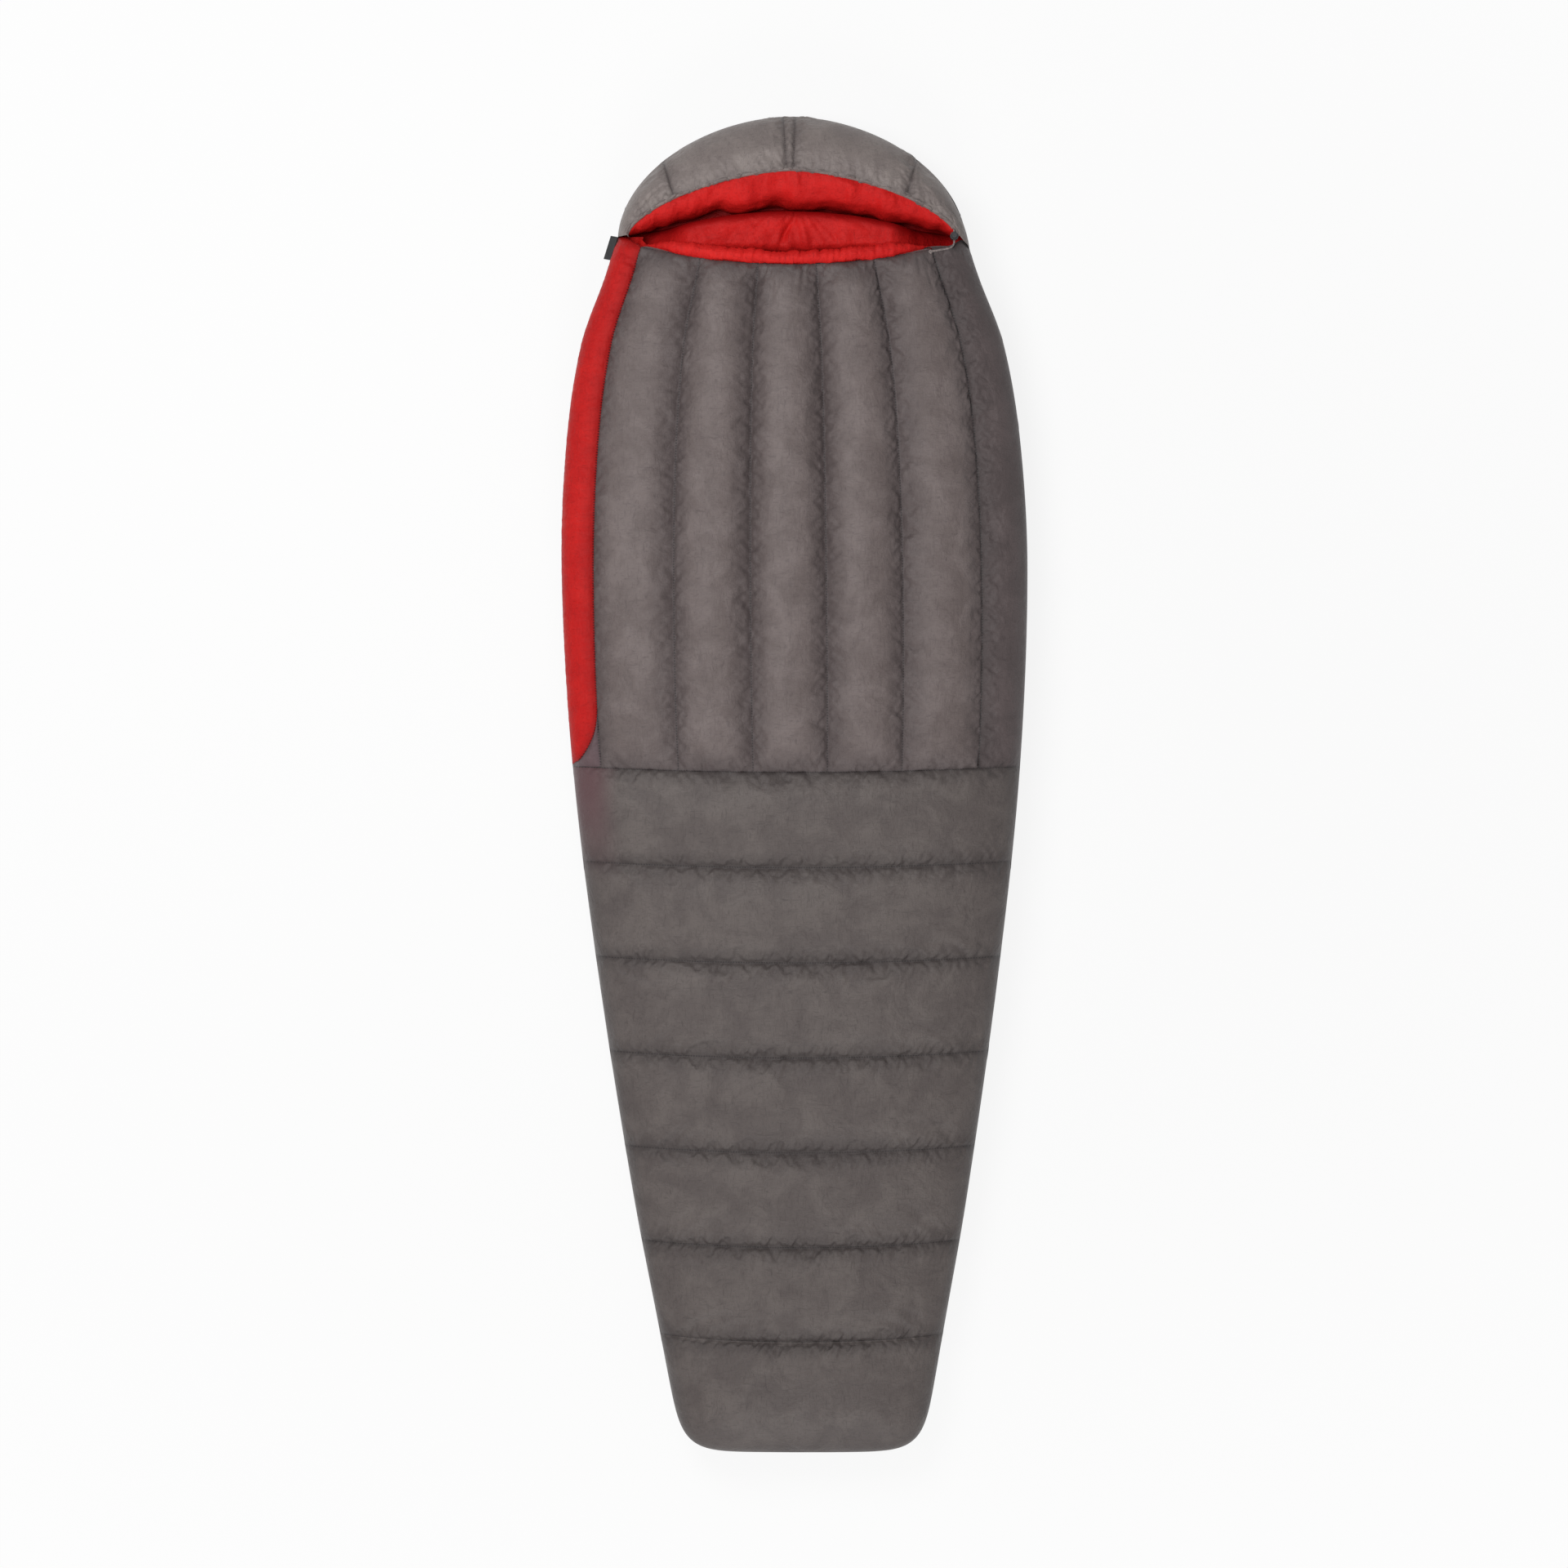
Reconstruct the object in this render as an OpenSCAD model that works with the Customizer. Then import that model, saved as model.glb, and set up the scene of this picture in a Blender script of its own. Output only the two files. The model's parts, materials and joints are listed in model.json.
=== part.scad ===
// Mummy sleeping bag lying on its back, hood towards +Y, with a zip down its left side.
// Sizes are millimetres, the floor is Z = 0 and the bag's long axis is Y.

/* [Overall size] */
// Length from the foot end to the top of the hood
bag_length = 2100; // [2000:10:2200]
// Width at the chest, the widest place
bag_width = 731; // [690:1:770]
// Height of the filled chest above the floor
chest_loft = 166; // [158:1:174]
// Height of the filled foot above the floor
foot_loft = 132; // [126:1:138]

/* [Quilting] */
// Thickness of a top chamber at its crown
top_pad = 32; // [29:1:34]
// Thickness of a back chamber at its crown
back_pad = 20; // [18:1:23]
// How far a sewn seam draws the top in
top_draw = 18; // [10:1:20]
// How far a sewn seam draws the back in
back_draw = 6; // [3:1:8]
// Gap between neighbouring chambers, where a baffle wall hangs
seam_gap = 1.2; // [1:0.1:1.6]
// Thickness of the lining cloth
lining_cloth = 1.2; // [0.8:0.1:1.5]
// Thickness of a baffle wall
baffle_cloth = 0.5; // [0.4:0.05:0.6]

/* [Hood] */
// Thickness of a crown chamber
crown_pad = 22; // [18:1:24]
// Height of the hood rim above the floor, at its middle
rim_height = 134; // [126:1:140]
// Height of the hood rim above the floor, at its two ends
rim_end_height = 112; // [108:1:116]
// Thickness of the pad under the head
head_pad = 40; // [34:1:44]
// Radius of the hem that the drawcord runs in
hem_radius = 4.5; // [4:0.1:5]
// Radius of the drawcord
cord_radius = 1.5; // [1.2:0.1:1.7]

/* [Zip] */
// Height of the slot between top and back that the zip closes
zip_slot = 16; // [15:0.5:18]
// Radius of each row of zip coil
coil_radius = 1.5; // [1.2:0.1:1.6]
// Length of the zip pull
pull_length = 32; // [24:1:36]
// Length of the guard tab at the top of the zip
tab_length = 38; // [30:1:40]

/* [Hidden] */
$fn = 48;
half_length = bag_length / 2;
half_width = bag_width / 2;
tube_count = 5;
leg_row_count = 6;
torso_row_count = 6;

// The outline's half width along the bag, both as shares of the overall size
outline = [
    [-0.827, 0.606], [-0.610, 0.720], [-0.269, 0.865], [0.025, 0.960], [0.317, 1.000],
    [0.512, 0.974], [0.658, 0.906], [0.756, 0.804], [0.817, 0.747]
];
foot_y = outline[0][0] * half_length;
hood_y = outline[len(outline) - 1][0] * half_length;
foot_reach = half_length + foot_y;
hood_reach = half_length - hood_y;
foot_corner = 7;
hood_corner = 1.85;
// The bag lies a little askew, so its middle drifts sideways along its length
drift = -0.009;
widest_y = 0.317 * half_length;

// Stations along the bag
hip_y = 0.022 * half_length;
neck_y = 0.773 * half_length;
neck_rise = 0.032 * half_length;
nape_y = 0.795 * half_length;
crease_y = 0.856 * half_length;
leg_pitch = (hip_y - foot_y) / leg_row_count;
torso_pitch = (nape_y - hip_y) / torso_row_count;

// Height of the side seam, and how much the hood's seam drops below it
chest_mid = 0.47 * chest_loft;
foot_mid = 0.47 * foot_loft;
hood_mid_drop = 20;
edge_gap = 0.4;
floor_press = 1.06;
side_pad = back_pad + 8;
top_round = 2.6;
back_round = 4;
lining_gap = 1;

// Seams of the chest, as shares of the half width
panel_u = -0.9;
side_u = 0.84;
side_rise = 2;
function tube_u(k) = panel_u + k * (side_u - panel_u) / tube_count;

// Where the samples of a chamber lie
tube_q = [0, 0.1, 0.28, 0.5, 0.72, 0.9, 1];
tube_v = [0, 0.04, 0.12, 0.3, 0.5, 0.68, 0.82, 0.92, 1];
edge_q = [0, 0.1, 0.3, 0.6, 1];
row_u = [-1, -0.985, -0.93, -0.78, -0.45, 0, 0.45, 0.78, 0.93, 0.985, 1];
row_v = [0, 0.08, 0.25, 0.5, 0.75, 0.92, 1];
back_v = [0, 0.2, 0.8, 1];
foot_t = [0, 0.1, 0.3, 0.55, 0.78, 0.92, 0.98, 1];

// Small helpers
function ease(t) = let (k = max(0, min(1, t))) k * k * (3 - 2 * k);
function mix(a, b, t) = a + (b - a) * t;
function unit(v) = v / norm(v);
function signed_power(a, e) = sign(a) * pow(abs(a), e);
function reversed(list) = [for (k = [len(list) - 1 : -1 : 0]) list[k]];

// Outline of the bag from above
function outline_slope(i) =
    let (a = max(i - 1, 0), b = min(i + 1, len(outline) - 1))
    (outline[b][1] - outline[a][1]) / (outline[b][0] - outline[a][0]);
function outline_span(f, i = 0) =
    (i >= len(outline) - 2 || f <= outline[i + 1][0]) ? i : outline_span(f, i + 1);
function outline_curve(f, i) =
    let (w = outline[i + 1][0] - outline[i][0], t = (f - outline[i][0]) / w)
    (2 * t ^ 3 - 3 * t ^ 2 + 1) * outline[i][1]
    + (t ^ 3 - 2 * t ^ 2 + t) * w * outline_slope(i)
    + (3 * t ^ 2 - 2 * t ^ 3) * outline[i + 1][1]
    + (t ^ 3 - t ^ 2) * w * outline_slope(i + 1);
function side_share(f) =
    f <= outline[0][0] ? outline[0][1] + outline_slope(0) * (f - outline[0][0])
    : f >= outline[len(outline) - 1][0] ? outline[len(outline) - 1][1]
    : outline_curve(f, outline_span(f));
function beyond(y) = y < foot_y ? (foot_y - y) / foot_reach : y > hood_y ? (y - hood_y) / hood_reach : 0;
function corner(y) = y < foot_y ? foot_corner : hood_corner;
function straight_half(y) = half_width * side_share(y / half_length);
function half_at(y) =
    straight_half(y) * pow(max(0, 1 - pow(beyond(y), corner(y))), 1 / corner(y));
function middle(y) = drift * (y - widest_y);
function plan(u, y) = [middle(y) + half_at(y) * u, y];

// How far a plan point is from the bag's middle line, 1 on the outline
function spread(p) =
    let (k = abs(p.x - middle(p.y)) / straight_half(p.y), s = beyond(p.y), e = corner(p.y))
    min(1, s > 0 ? pow(pow(k, e) + pow(s, e), 1 / e) : k);

// A plan point moved in from the outline by a depth
function drawn_in(p, d) =
    let (
        body = p.y >= foot_y && p.y <= hood_y,
        base = p.y < foot_y ? foot_y : hood_y,
        reach = p.y < foot_y ? foot_reach : hood_reach,
        wide = body ? half_at(p.y) : half_at(base)
    )
    [
        middle(p.y) + (p.x - middle(p.y)) * (wide - d) / wide,
        body ? p.y : base + (p.y - base) * (reach - d) / reach
    ];

// Heights of the bag's surfaces
function body_share(y) = ease((y - foot_y) / (0 - foot_y));
function loft_at(y) = mix(foot_loft, chest_loft, body_share(y));
function mid_at(y) =
    mix(foot_mid, chest_mid, body_share(y)) - hood_mid_drop * ease((y - nape_y) / (crease_y - nape_y));
function slot_at(p) =
    p.x > middle(p.y) ? edge_gap
    : mix(edge_gap, zip_slot / 2, ease((p.y - hip_y - 4) / 20) * (1 - ease((p.y - zip_head_y) / 12)));
function top_share(r) = pow(max(0, 1 - pow(r, top_round)), 1 / top_round);
function back_share(r) = pow(max(0, 1 - pow(r, back_round)), 1 / back_round);

// A point of the top at a depth below its crowns, and one of the back at a depth above the floor
function over(p, d) =
    let (q = drawn_in(p, d), m = mid_at(p.y), e = slot_at(p))
    [q.x, q.y, m + e + (loft_at(p.y) - m - d - e) * top_share(spread(p))];
function under(p, d) =
    let (q = drawn_in(p, d), m = mid_at(p.y), e = slot_at(p))
    [q.x, q.y, max(d, m - e - (floor_press * m - e - d) * back_share(spread(p)))];
function back_depth(p, pad = back_pad) = mix(max(pad, side_pad), pad, back_share(spread(p)));

// The neck edge of the top, and the fold that the unzipped flap turns on
function neck_at(u) = neck_y + neck_rise * u * u;
zip_end_y = 0.046 * half_length;
fold_from = plan(-1, zip_end_y);
fold_to = plan(0.83, 0.772 * half_length);
fold_along = unit(fold_to - fold_from);
fold_side = [-fold_along.y, fold_along.x];
fold_gap = 1.5;
function fold_offset(u, y) = fold_side * (plan(u, y) - fold_from);
function fold_y(u, gap, low = hip_y - 200, high = half_length - 20, steps = 20) =
    let (y = (low + high) / 2)
    steps == 0 ? y
    : fold_offset(u, y) > gap ? fold_y(u, gap, low, y, steps - 1)
    : fold_y(u, gap, y, high, steps - 1);

// The zip follows one circle through three points inside the left edge
zip_head_y = 0.798 * half_length;
zip_foot_y = zip_end_y + 8;
function zip_point(y, inset) = plan(-1, y) + [inset, 0];
zip_a = zip_point(zip_foot_y, 12);
zip_b = zip_point(0.419 * half_length, 16);
zip_c = zip_point(zip_head_y, 10);
function circle_centre(a, b, c) =
    let (
        p = b - a, q = c - a, k = 2 * (p.x * q.y - p.y * q.x),
        pp = p * p, qq = q * q
    )
    a + [q.y * pp - p.y * qq, p.x * qq - q.x * pp] / k;
zip_centre = circle_centre(zip_a, zip_b, zip_c);
zip_radius = norm(zip_a - zip_centre);
function zip_angle(y) = 180 - asin((y - zip_centre.y) / zip_radius);
slider_y = 0.767 * half_length;
slider_half = 8;
slider_foot_y = zip_foot_y + slider_half + 6;
tape_cloth = 0.8;
tape_reach = zip_slot / 2 - 0.3;

// The hood's outer edge and rim, by the angle round the crown from left to right
rim_corner = 1.6;
rim_half = 0.96 * half_at(hood_y);
rim_reach = 0.55 * hood_reach;
crown_seams = [0, 41, 86.8, 92, 138, 180];
crown_draw = 6;
crown_gap = 0.25;
function crown_edge(a) =
    let (y = hood_y + hood_reach * pow(sin(a), 2 / hood_corner))
    [middle(y) - half_at(hood_y) * signed_power(cos(a), 2 / hood_corner), y];
function rim_edge(a) =
    let (y = hood_y + rim_reach * pow(sin(a), 2 / rim_corner))
    [middle(y) - rim_half * signed_power(cos(a), 2 / rim_corner), y];
function rim_z(a) = mix(rim_end_height, rim_height, sin(a));
function crown_out(a) = unit(crown_edge(a) - rim_edge(a));
function crown(a, b, d) =
    let (
        o = crown_edge(a),
        p = mix(o, rim_edge(a), 1 - cos(90 * b)) - crown_out(a) * d * cos(90 * b),
        low = mid_at(p.y) + edge_gap
    )
    [p.x, p.y, low + (rim_z(a) - low - d) * sin(90 * b)];

// The hem and its drawcord, and the cord lock at the right end of the rim
hem_from = 6;
hem_to = 168;
hem_steps = 27;
function hem_point(a, inset) =
    let (p = rim_edge(a) - crown_out(a) * inset)
    [p.x, p.y, rim_z(a) - 9];
hem_inset = hem_radius + 0.9;
hem_route = [for (k = [0 : hem_steps]) hem_point(mix(hem_from, hem_to, k / hem_steps), hem_inset)];
lock_at = hem_point(175, 8.2);
lock_radius = 6.5;
lock_low = 10;
lock_height = 16;
lock_bore = 4.2;
plunger_radius = 3.9;
plunger_travel = 3;
tail_lift = cord_radius + 0.8;
tail_route = concat(
    [lock_at + [0, -lock_radius - 0.6, 0], lock_at + [0, -lock_radius - 2, 7]],
    [for (back = [16, 24, 36, 48]) over([lock_at.x - back / 10, lock_at.y - back], -tail_lift)]
);

// Solids between an upper and a lower grid of points, rows running towards +Y
function id(j, i, n) = j * n + i;
function quad(a, b, c, d) = [[a, b, c], [a, c, d]];
function slab_faces(m, n) =
    let (s = m * n)
    concat(
        [for (j = [0 : m - 2], i = [0 : n - 2]) each
            quad(id(j, i, n), id(j + 1, i, n), id(j + 1, i + 1, n), id(j, i + 1, n))],
        [for (j = [0 : m - 2], i = [0 : n - 2]) each
            quad(s + id(j, i, n), s + id(j, i + 1, n), s + id(j + 1, i + 1, n), s + id(j + 1, i, n))],
        [for (i = [0 : n - 2]) each quad(i, i + 1, s + i + 1, s + i)],
        [for (i = [0 : n - 2], k = [(m - 1) * n + i]) each quad(k + 1, k, s + k, s + k + 1)],
        [for (j = [0 : m - 2], k = [j * n]) each quad(k + n, k, s + k, s + k + n)],
        [for (j = [0 : m - 2], k = [j * n + n - 1]) each quad(k, k + n, s + k + n, s + k)]
    );
module slab(upper, lower) {
    m = len(upper);
    n = len(upper[0]);
    points = concat([for (row = upper) each row], [for (row = lower) each row]);
    polyhedron(points, slab_faces(m, n), convexity = 6);
}

// A round tube along a route, its rings upright and square to the route in plan
function route_way(route, k) =
    unit([for (c = [0 : 1]) route[min(k + 1, len(route) - 1)][c] - route[max(k - 1, 0)][c]]);
function tube_ring(route, k, r, sides) =
    let (w = route_way(route, k))
    [for (s = [0 : sides - 1], a = [360 * s / sides])
        route[k] + r * [w.y * cos(a), -w.x * cos(a), sin(a)]];
module cord_tube(route, radii, sides = 8) {
    n = len(route);
    points = [for (k = [0 : n - 1]) each tube_ring(route, k, radii[k], sides)];
    walls = [for (k = [0 : n - 2], s = [0 : sides - 1], t = [(s + 1) % sides]) each
        quad(k * sides + s, k * sides + t, (k + 1) * sides + t, (k + 1) * sides + s)];
    caps = [for (s = [1 : sides - 2]) each
        [[0, s + 1, s], [(n - 1) * sides, (n - 1) * sides + s, (n - 1) * sides + s + 1]]];
    polyhedron(points, concat(walls, caps), convexity = 6);
}
module hollow_tube(route, outer, bore, sides = 8) {
    n = len(route);
    s0 = n * sides;
    points = concat(
        [for (k = [0 : n - 1]) each tube_ring(route, k, outer, sides)],
        [for (k = [0 : n - 1]) each tube_ring(route, k, bore, sides)]
    );
    walls = [for (k = [0 : n - 2], s = [0 : sides - 1], t = [(s + 1) % sides]) each concat(
        quad(k * sides + s, k * sides + t, (k + 1) * sides + t, (k + 1) * sides + s),
        quad(s0 + k * sides + t, s0 + k * sides + s, s0 + (k + 1) * sides + s, s0 + (k + 1) * sides + t)
    )];
    last = (n - 1) * sides;
    ends = [for (s = [0 : sides - 1], t = [(s + 1) % sides]) each concat(
        quad(t, s, s0 + s, s0 + t),
        quad(last + s, last + t, s0 + last + t, s0 + last + s)
    )];
    polyhedron(points, concat(walls, ends), convexity = 8);
}

// Pillow shape of a chamber, 1 at its crown and 0 at its seams
function pillow(q) = pow(max(0, sin(180 * q)), 0.5);
function end_pillow(v) = pow(min(1, v / 0.12), 0.5);

// A chamber of the top over a plan grid, and one of the back, each with its drawn-in seams
module top_chamber(grid, draws, pad = top_pad) {
    slab(
        [for (j = [0 : len(grid) - 1]) [for (i = [0 : len(grid[0]) - 1]) over(grid[j][i], draws[j][i])]],
        [for (row = grid) [for (p = row) over(p, pad)]]
    );
}
module back_chamber(grid, draws, pad) {
    slab(
        [for (row = grid) [for (p = row) under(p, back_depth(p, pad))]],
        [for (j = [0 : len(grid) - 1]) [for (i = [0 : len(grid[0]) - 1]) under(grid[j][i], draws[j][i])]]
    );
}

// Plan grids: a strip between two shares of the width, and a row right across
function strip_grid(u0, u1, qs, vs, low, high) =
    let (us = [for (q = qs) mix(u0, u1, q)])
    [for (v = vs) [for (i = [0 : len(qs) - 1])
        plan(us[i], mix(low[i], high[i], v)) + [seam_gap * (0.5 - qs[i]), 0]]];
function row_grid(us, vs, low, high) =
    [for (v = vs) [for (u = us) plan(u, mix(low + seam_gap / 2, high - seam_gap / 2, v))]];

// A grid from a straight seam out to the rounded end of the outline
function end_point(a, base, reach, way, round) =
    let (y = base + way * reach * pow(sin(a), 2 / round))
    [middle(y) - straight_half(y) * signed_power(cos(a), 2 / round), y];
function end_grid(us, ts, seam, base, reach, way, round, a0) =
    let (n = len(us) - 1)
    [for (t = ts) [for (i = [0 : n])
        let (
            p = mix(
                plan(us[i], seam + way * seam_gap / 2),
                end_point(mix(a0, 180 - a0, i / n), base, reach, way, round),
                t
            )
        )
        i == 0 ? plan(-1, p.y) : i == n ? plan(1, p.y) : p]];
foot_grid = reversed(end_grid(row_u, foot_t, foot_y, foot_y, foot_reach, -1, foot_corner, 5));
head_grid = end_grid(row_u, foot_t, crease_y, hood_y, hood_reach, 1, hood_corner, 18.5);

// Cloth lying just inside a run of chambers
module top_lining(grid) {
    slab(
        [for (row = grid) [for (p = row) over(p, top_pad + lining_gap)]],
        [for (row = grid) [for (p = row) over(p, top_pad + lining_gap + lining_cloth)]]
    );
}
module back_lining_sheet(grid, pad) {
    slab(
        [for (row = grid) [for (p = row) under(p, back_depth(p, pad) + lining_gap + lining_cloth)]],
        [for (row = grid) [for (p = row) under(p, back_depth(p, pad) + lining_gap)]]
    );
}

// A baffle wall hanging in a seam, from just under the shell down to the lining
module top_wall(route, across) {
    half = across * baffle_cloth / 2;
    deep = [for (p = route) over(p - half, top_pad - 0.5)];
    deep_far = [for (p = route) over(p + half, top_pad - 0.5)];
    slab(
        [[for (p = route) over(p - half, top_draw + 1.5)], [for (p = route) over(p + half, top_draw + 1.5)]],
        [deep, deep_far]
    );
}
module back_wall(route, across) {
    half = across * baffle_cloth / 2;
    slab(
        [[for (p = route) under(p - half, back_depth(p) - 0.5)], [for (p = route) under(p + half, back_depth(p) - 0.5)]],
        [[for (p = route) under(p - half, back_draw + 1.5)], [for (p = route) under(p + half, back_draw + 1.5)]]
    );
}
wall_u = [for (u = row_u) if (abs(u) < 0.95) u];

// Colours
module shell_grey() color([0.44, 0.41, 0.39]) children();
module lining_red() color([0.79, 0.19, 0.18]) children();
module zip_black() color([0.05, 0.05, 0.06]) children();
module mesh_white() color([0.85, 0.85, 0.83]) children();

// Chest tubes, above the fold on the flap and below it on the body
module chest_tube_upper(k) {
    us = [for (q = tube_q) mix(tube_u(k - 1), tube_u(k), q)];
    vs = [for (v = reversed(tube_v)) 1 - v];
    grid = strip_grid(tube_u(k - 1), tube_u(k), tube_q, vs,
        [for (u = us) fold_y(u, fold_gap)], [for (u = us) neck_at(u)]);
    draws = [for (v = vs) [for (q = tube_q) top_draw * (1 - pillow(q) * end_pillow(1 - v))]];
    shell_grey() top_chamber(grid, draws);
}
module chest_tube_lower(k) {
    us = [for (q = tube_q) mix(tube_u(k - 1), tube_u(k), q)];
    grid = strip_grid(tube_u(k - 1), tube_u(k), tube_q, tube_v,
        [for (u = us) hip_y + seam_gap / 2], [for (u = us) fold_y(u, -fold_gap)]);
    draws = [for (v = tube_v) [for (q = tube_q) top_draw * (1 - pillow(q) * end_pillow(v))]];
    shell_grey() top_chamber(grid, draws);
}

// Red panel along the zip, the gusset below it and the plain panel on the right side
module zip_side_panel() {
    us = [for (q = edge_q) mix(-1, panel_u, q)];
    vs = [for (v = reversed(tube_v)) 1 - v];
    grid = strip_grid(-1, panel_u, edge_q, vs,
        [for (u = us) fold_y(u, fold_gap)], [for (u = us) neck_at(u)]);
    draws = [for (v = vs) [for (q = edge_q) top_draw * (1 - pillow(0.5 + q / 2) * end_pillow(1 - v))]];
    lining_red() top_chamber(grid, draws);
}
gusset_pad = top_pad - 0.7;
gusset_u = panel_u - 0.001;
module zip_end_gusset() {
    us = [for (q = edge_q) mix(-1, gusset_u, q)];
    vs = [0, 0.15, 0.5, 1];
    grid = strip_grid(-1, gusset_u, edge_q, vs,
        [for (u = us) hip_y + seam_gap / 2], [for (u = us) fold_y(u, -fold_gap)]);
    draws = [for (v = vs) [for (q = edge_q) top_draw * (1 - pillow(0.5 + q / 2) * end_pillow(v))]];
    shell_grey() top_chamber(grid, draws, gusset_pad);
}
// The plain panel's seam is sampled where the last tube's is, so that the two stay side by side
side_low = hip_y + seam_gap / 2;
fold_share = (fold_y(side_u, -fold_gap) - side_low) / (neck_at(side_u) + side_rise - side_low);
module right_side_panel() {
    qs = [for (q = reversed(edge_q)) 1 - q];
    us = [for (q = qs) mix(side_u, 1, q)];
    vs = concat([for (v = tube_v) v * fold_share], [mix(fold_share, 1, 0.5), 1]);
    grid = strip_grid(side_u, 1, qs, vs,
        [for (u = us) side_low], [for (u = us) neck_at(u) + side_rise]);
    draws = [for (v = vs) [for (q = qs)
        top_draw * (1 - pillow(0.5 - q / 2) * end_pillow(v) * end_pillow(1 - v))]];
    shell_grey() top_chamber(grid, draws);
}

// Rows across the legs, the last one closing round the foot
function row_draws(us, vs, draw) =
    [for (v = vs) [for (u = us) draw * (1 - pillow(v)) * mix(0.25, 1, top_share(abs(u)))]];
module leg_row(k) {
    grid = row_grid(row_u, row_v, hip_y - k * leg_pitch, hip_y - (k - 1) * leg_pitch);
    shell_grey() top_chamber(grid, row_draws(row_u, row_v, top_draw));
}
module foot_row() {
    draws = [for (t = reversed(foot_t)) [for (u = row_u)
        top_draw * (1 - end_pillow(t)) * mix(0.25, 1, top_share(abs(u)))]];
    shell_grey() top_chamber(foot_grid, draws);
}

// Rows of the back, under the torso and under the legs
module back_row(low, high) {
    grid = row_grid(row_u, back_v, low, high);
    draws = [for (v = back_v) [for (u = row_u) (v == 0 || v == 1) ? back_draw : 0]];
    back_chamber(grid, draws, back_pad);
}
module back_torso_rows() {
    shell_grey() for (k = [0 : torso_row_count - 1])
        back_row(hip_y + k * torso_pitch, hip_y + (k + 1) * torso_pitch);
}
module back_leg_rows() {
    foot_draws = [for (t = reversed(foot_t)) [for (u = row_u) t == 0 ? back_draw : 0]];
    shell_grey() {
        for (k = [1 : leg_row_count])
            back_row(hip_y - k * leg_pitch, hip_y - (k - 1) * leg_pitch);
        back_chamber(foot_grid, foot_draws, back_pad);
    }
}

// Baffle walls inside the seams
module chest_baffles_upper() {
    mesh_white() for (k = [0 : tube_count - 1]) {
        u = tube_u(k);
        low = fold_y(u, fold_gap);
        top_wall([for (v = tube_v) plan(u, mix(neck_at(u) - 3, low + 2, v))], [1, 0]);
    }
}
module chest_baffles_lower() {
    mesh_white() for (k = [0 : tube_count]) {
        u = tube_u(k);
        high = fold_y(u, -fold_gap);
        top_wall([for (v = reversed(tube_v)) plan(u, mix(hip_y + 3, high - 2, v))], [1, 0]);
    }
}
module leg_baffles() {
    mesh_white() for (k = [0 : leg_row_count])
        top_wall([for (u = wall_u) plan(u, hip_y - k * leg_pitch)], [0, 1]);
}
module back_baffles() {
    mesh_white() {
        for (k = [0 : leg_row_count])
            back_wall([for (u = wall_u) plan(u, hip_y - k * leg_pitch)], [0, 1]);
        for (k = [1 : torso_row_count])
            back_wall([for (u = wall_u) plan(u, hip_y + k * torso_pitch)], [0, 1]);
    }
}

// Red lining of the flap, the chest, the legs, the foot and the back
function lining_grid(us, vs, low, high) =
    [for (v = vs) [for (i = [0 : len(us) - 1]) plan(us[i], mix(low[i], high[i], v))]];
zip_edge_u = [for (q = edge_q) mix(-1, panel_u, q)];
side_edge_u = [for (q = reversed(edge_q)) mix(side_u, 1, 1 - q)];
tube_mid_u = [for (k = [1 : tube_count - 1]) tube_u(k)];
module chest_lining_upper() {
    us = concat(zip_edge_u, tube_mid_u, [side_u]);
    vs = [for (v = reversed(tube_v)) 1 - v];
    lining_red() top_lining(lining_grid(us, vs,
        [for (u = us) fold_y(u, fold_gap)], [for (u = us) neck_at(u) - 1]));
}
module chest_lining_lower() {
    us = concat(zip_edge_u, tube_mid_u, side_edge_u);
    lining_red() top_lining(lining_grid(us, tube_v,
        [for (u = us) side_low],
        [for (u = us) u > side_u ? mix(side_low, neck_at(u) + side_rise, fold_share) : fold_y(u, -fold_gap)]));
}
module leg_lining() {
    stations = [for (k = [0 : 2 * leg_row_count]) k / (2 * leg_row_count)];
    lining_red() top_lining(row_grid(row_u, stations, foot_y, hip_y));
}
module foot_lining() {
    lining_red() {
        top_lining(foot_grid);
        back_lining_sheet(foot_grid, back_pad);
    }
}
module back_lining() {
    legs = [for (k = [0 : leg_row_count - 1]) mix(foot_y + seam_gap, hip_y, k / leg_row_count)];
    torso = [for (k = [0 : torso_row_count - 1], v = [0, 0.2, 0.8]) hip_y + (k + v) * torso_pitch];
    ys = concat(legs, torso, [nape_y - seam_gap]);
    lining_red() back_lining_sheet([for (y = ys) [for (u = row_u) plan(u, y)]], back_pad);
}

// Padded tubes that keep draughts out at the neck and behind the zip
draught_radius = 12;
module neck_draught_tube() {
    us = [for (k = [0 : 11]) mix(-0.8, 0.76, k / 11)];
    route = [for (u = us)
        let (p = over(plan(u, neck_at(u)), top_draw + 8))
        [p.x, p.y + draught_radius + 0.6, p.z]];
    radii = [for (u = us) draught_radius * pow(max(0.1, 1 - pow(abs(u + 0.02) / 0.8, 4)), 0.5)];
    lining_red() cord_tube(route, radii, 7);
}
module zip_draught_tube() {
    radius = 9;
    steps = 8;
    ys = [for (k = [0 : steps]) mix(zip_end_y + 130, slider_y, k / steps)];
    route = [for (y = ys) let (p = plan(-1, y)) [p.x + top_pad + radius + 7, y, chest_mid + radius + 1.5]];
    radii = [for (k = [0 : steps]) radius * (k == 0 || k == steps ? 0.6 : 1)];
    lining_red() cord_tube(route, radii, 6);
}

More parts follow.
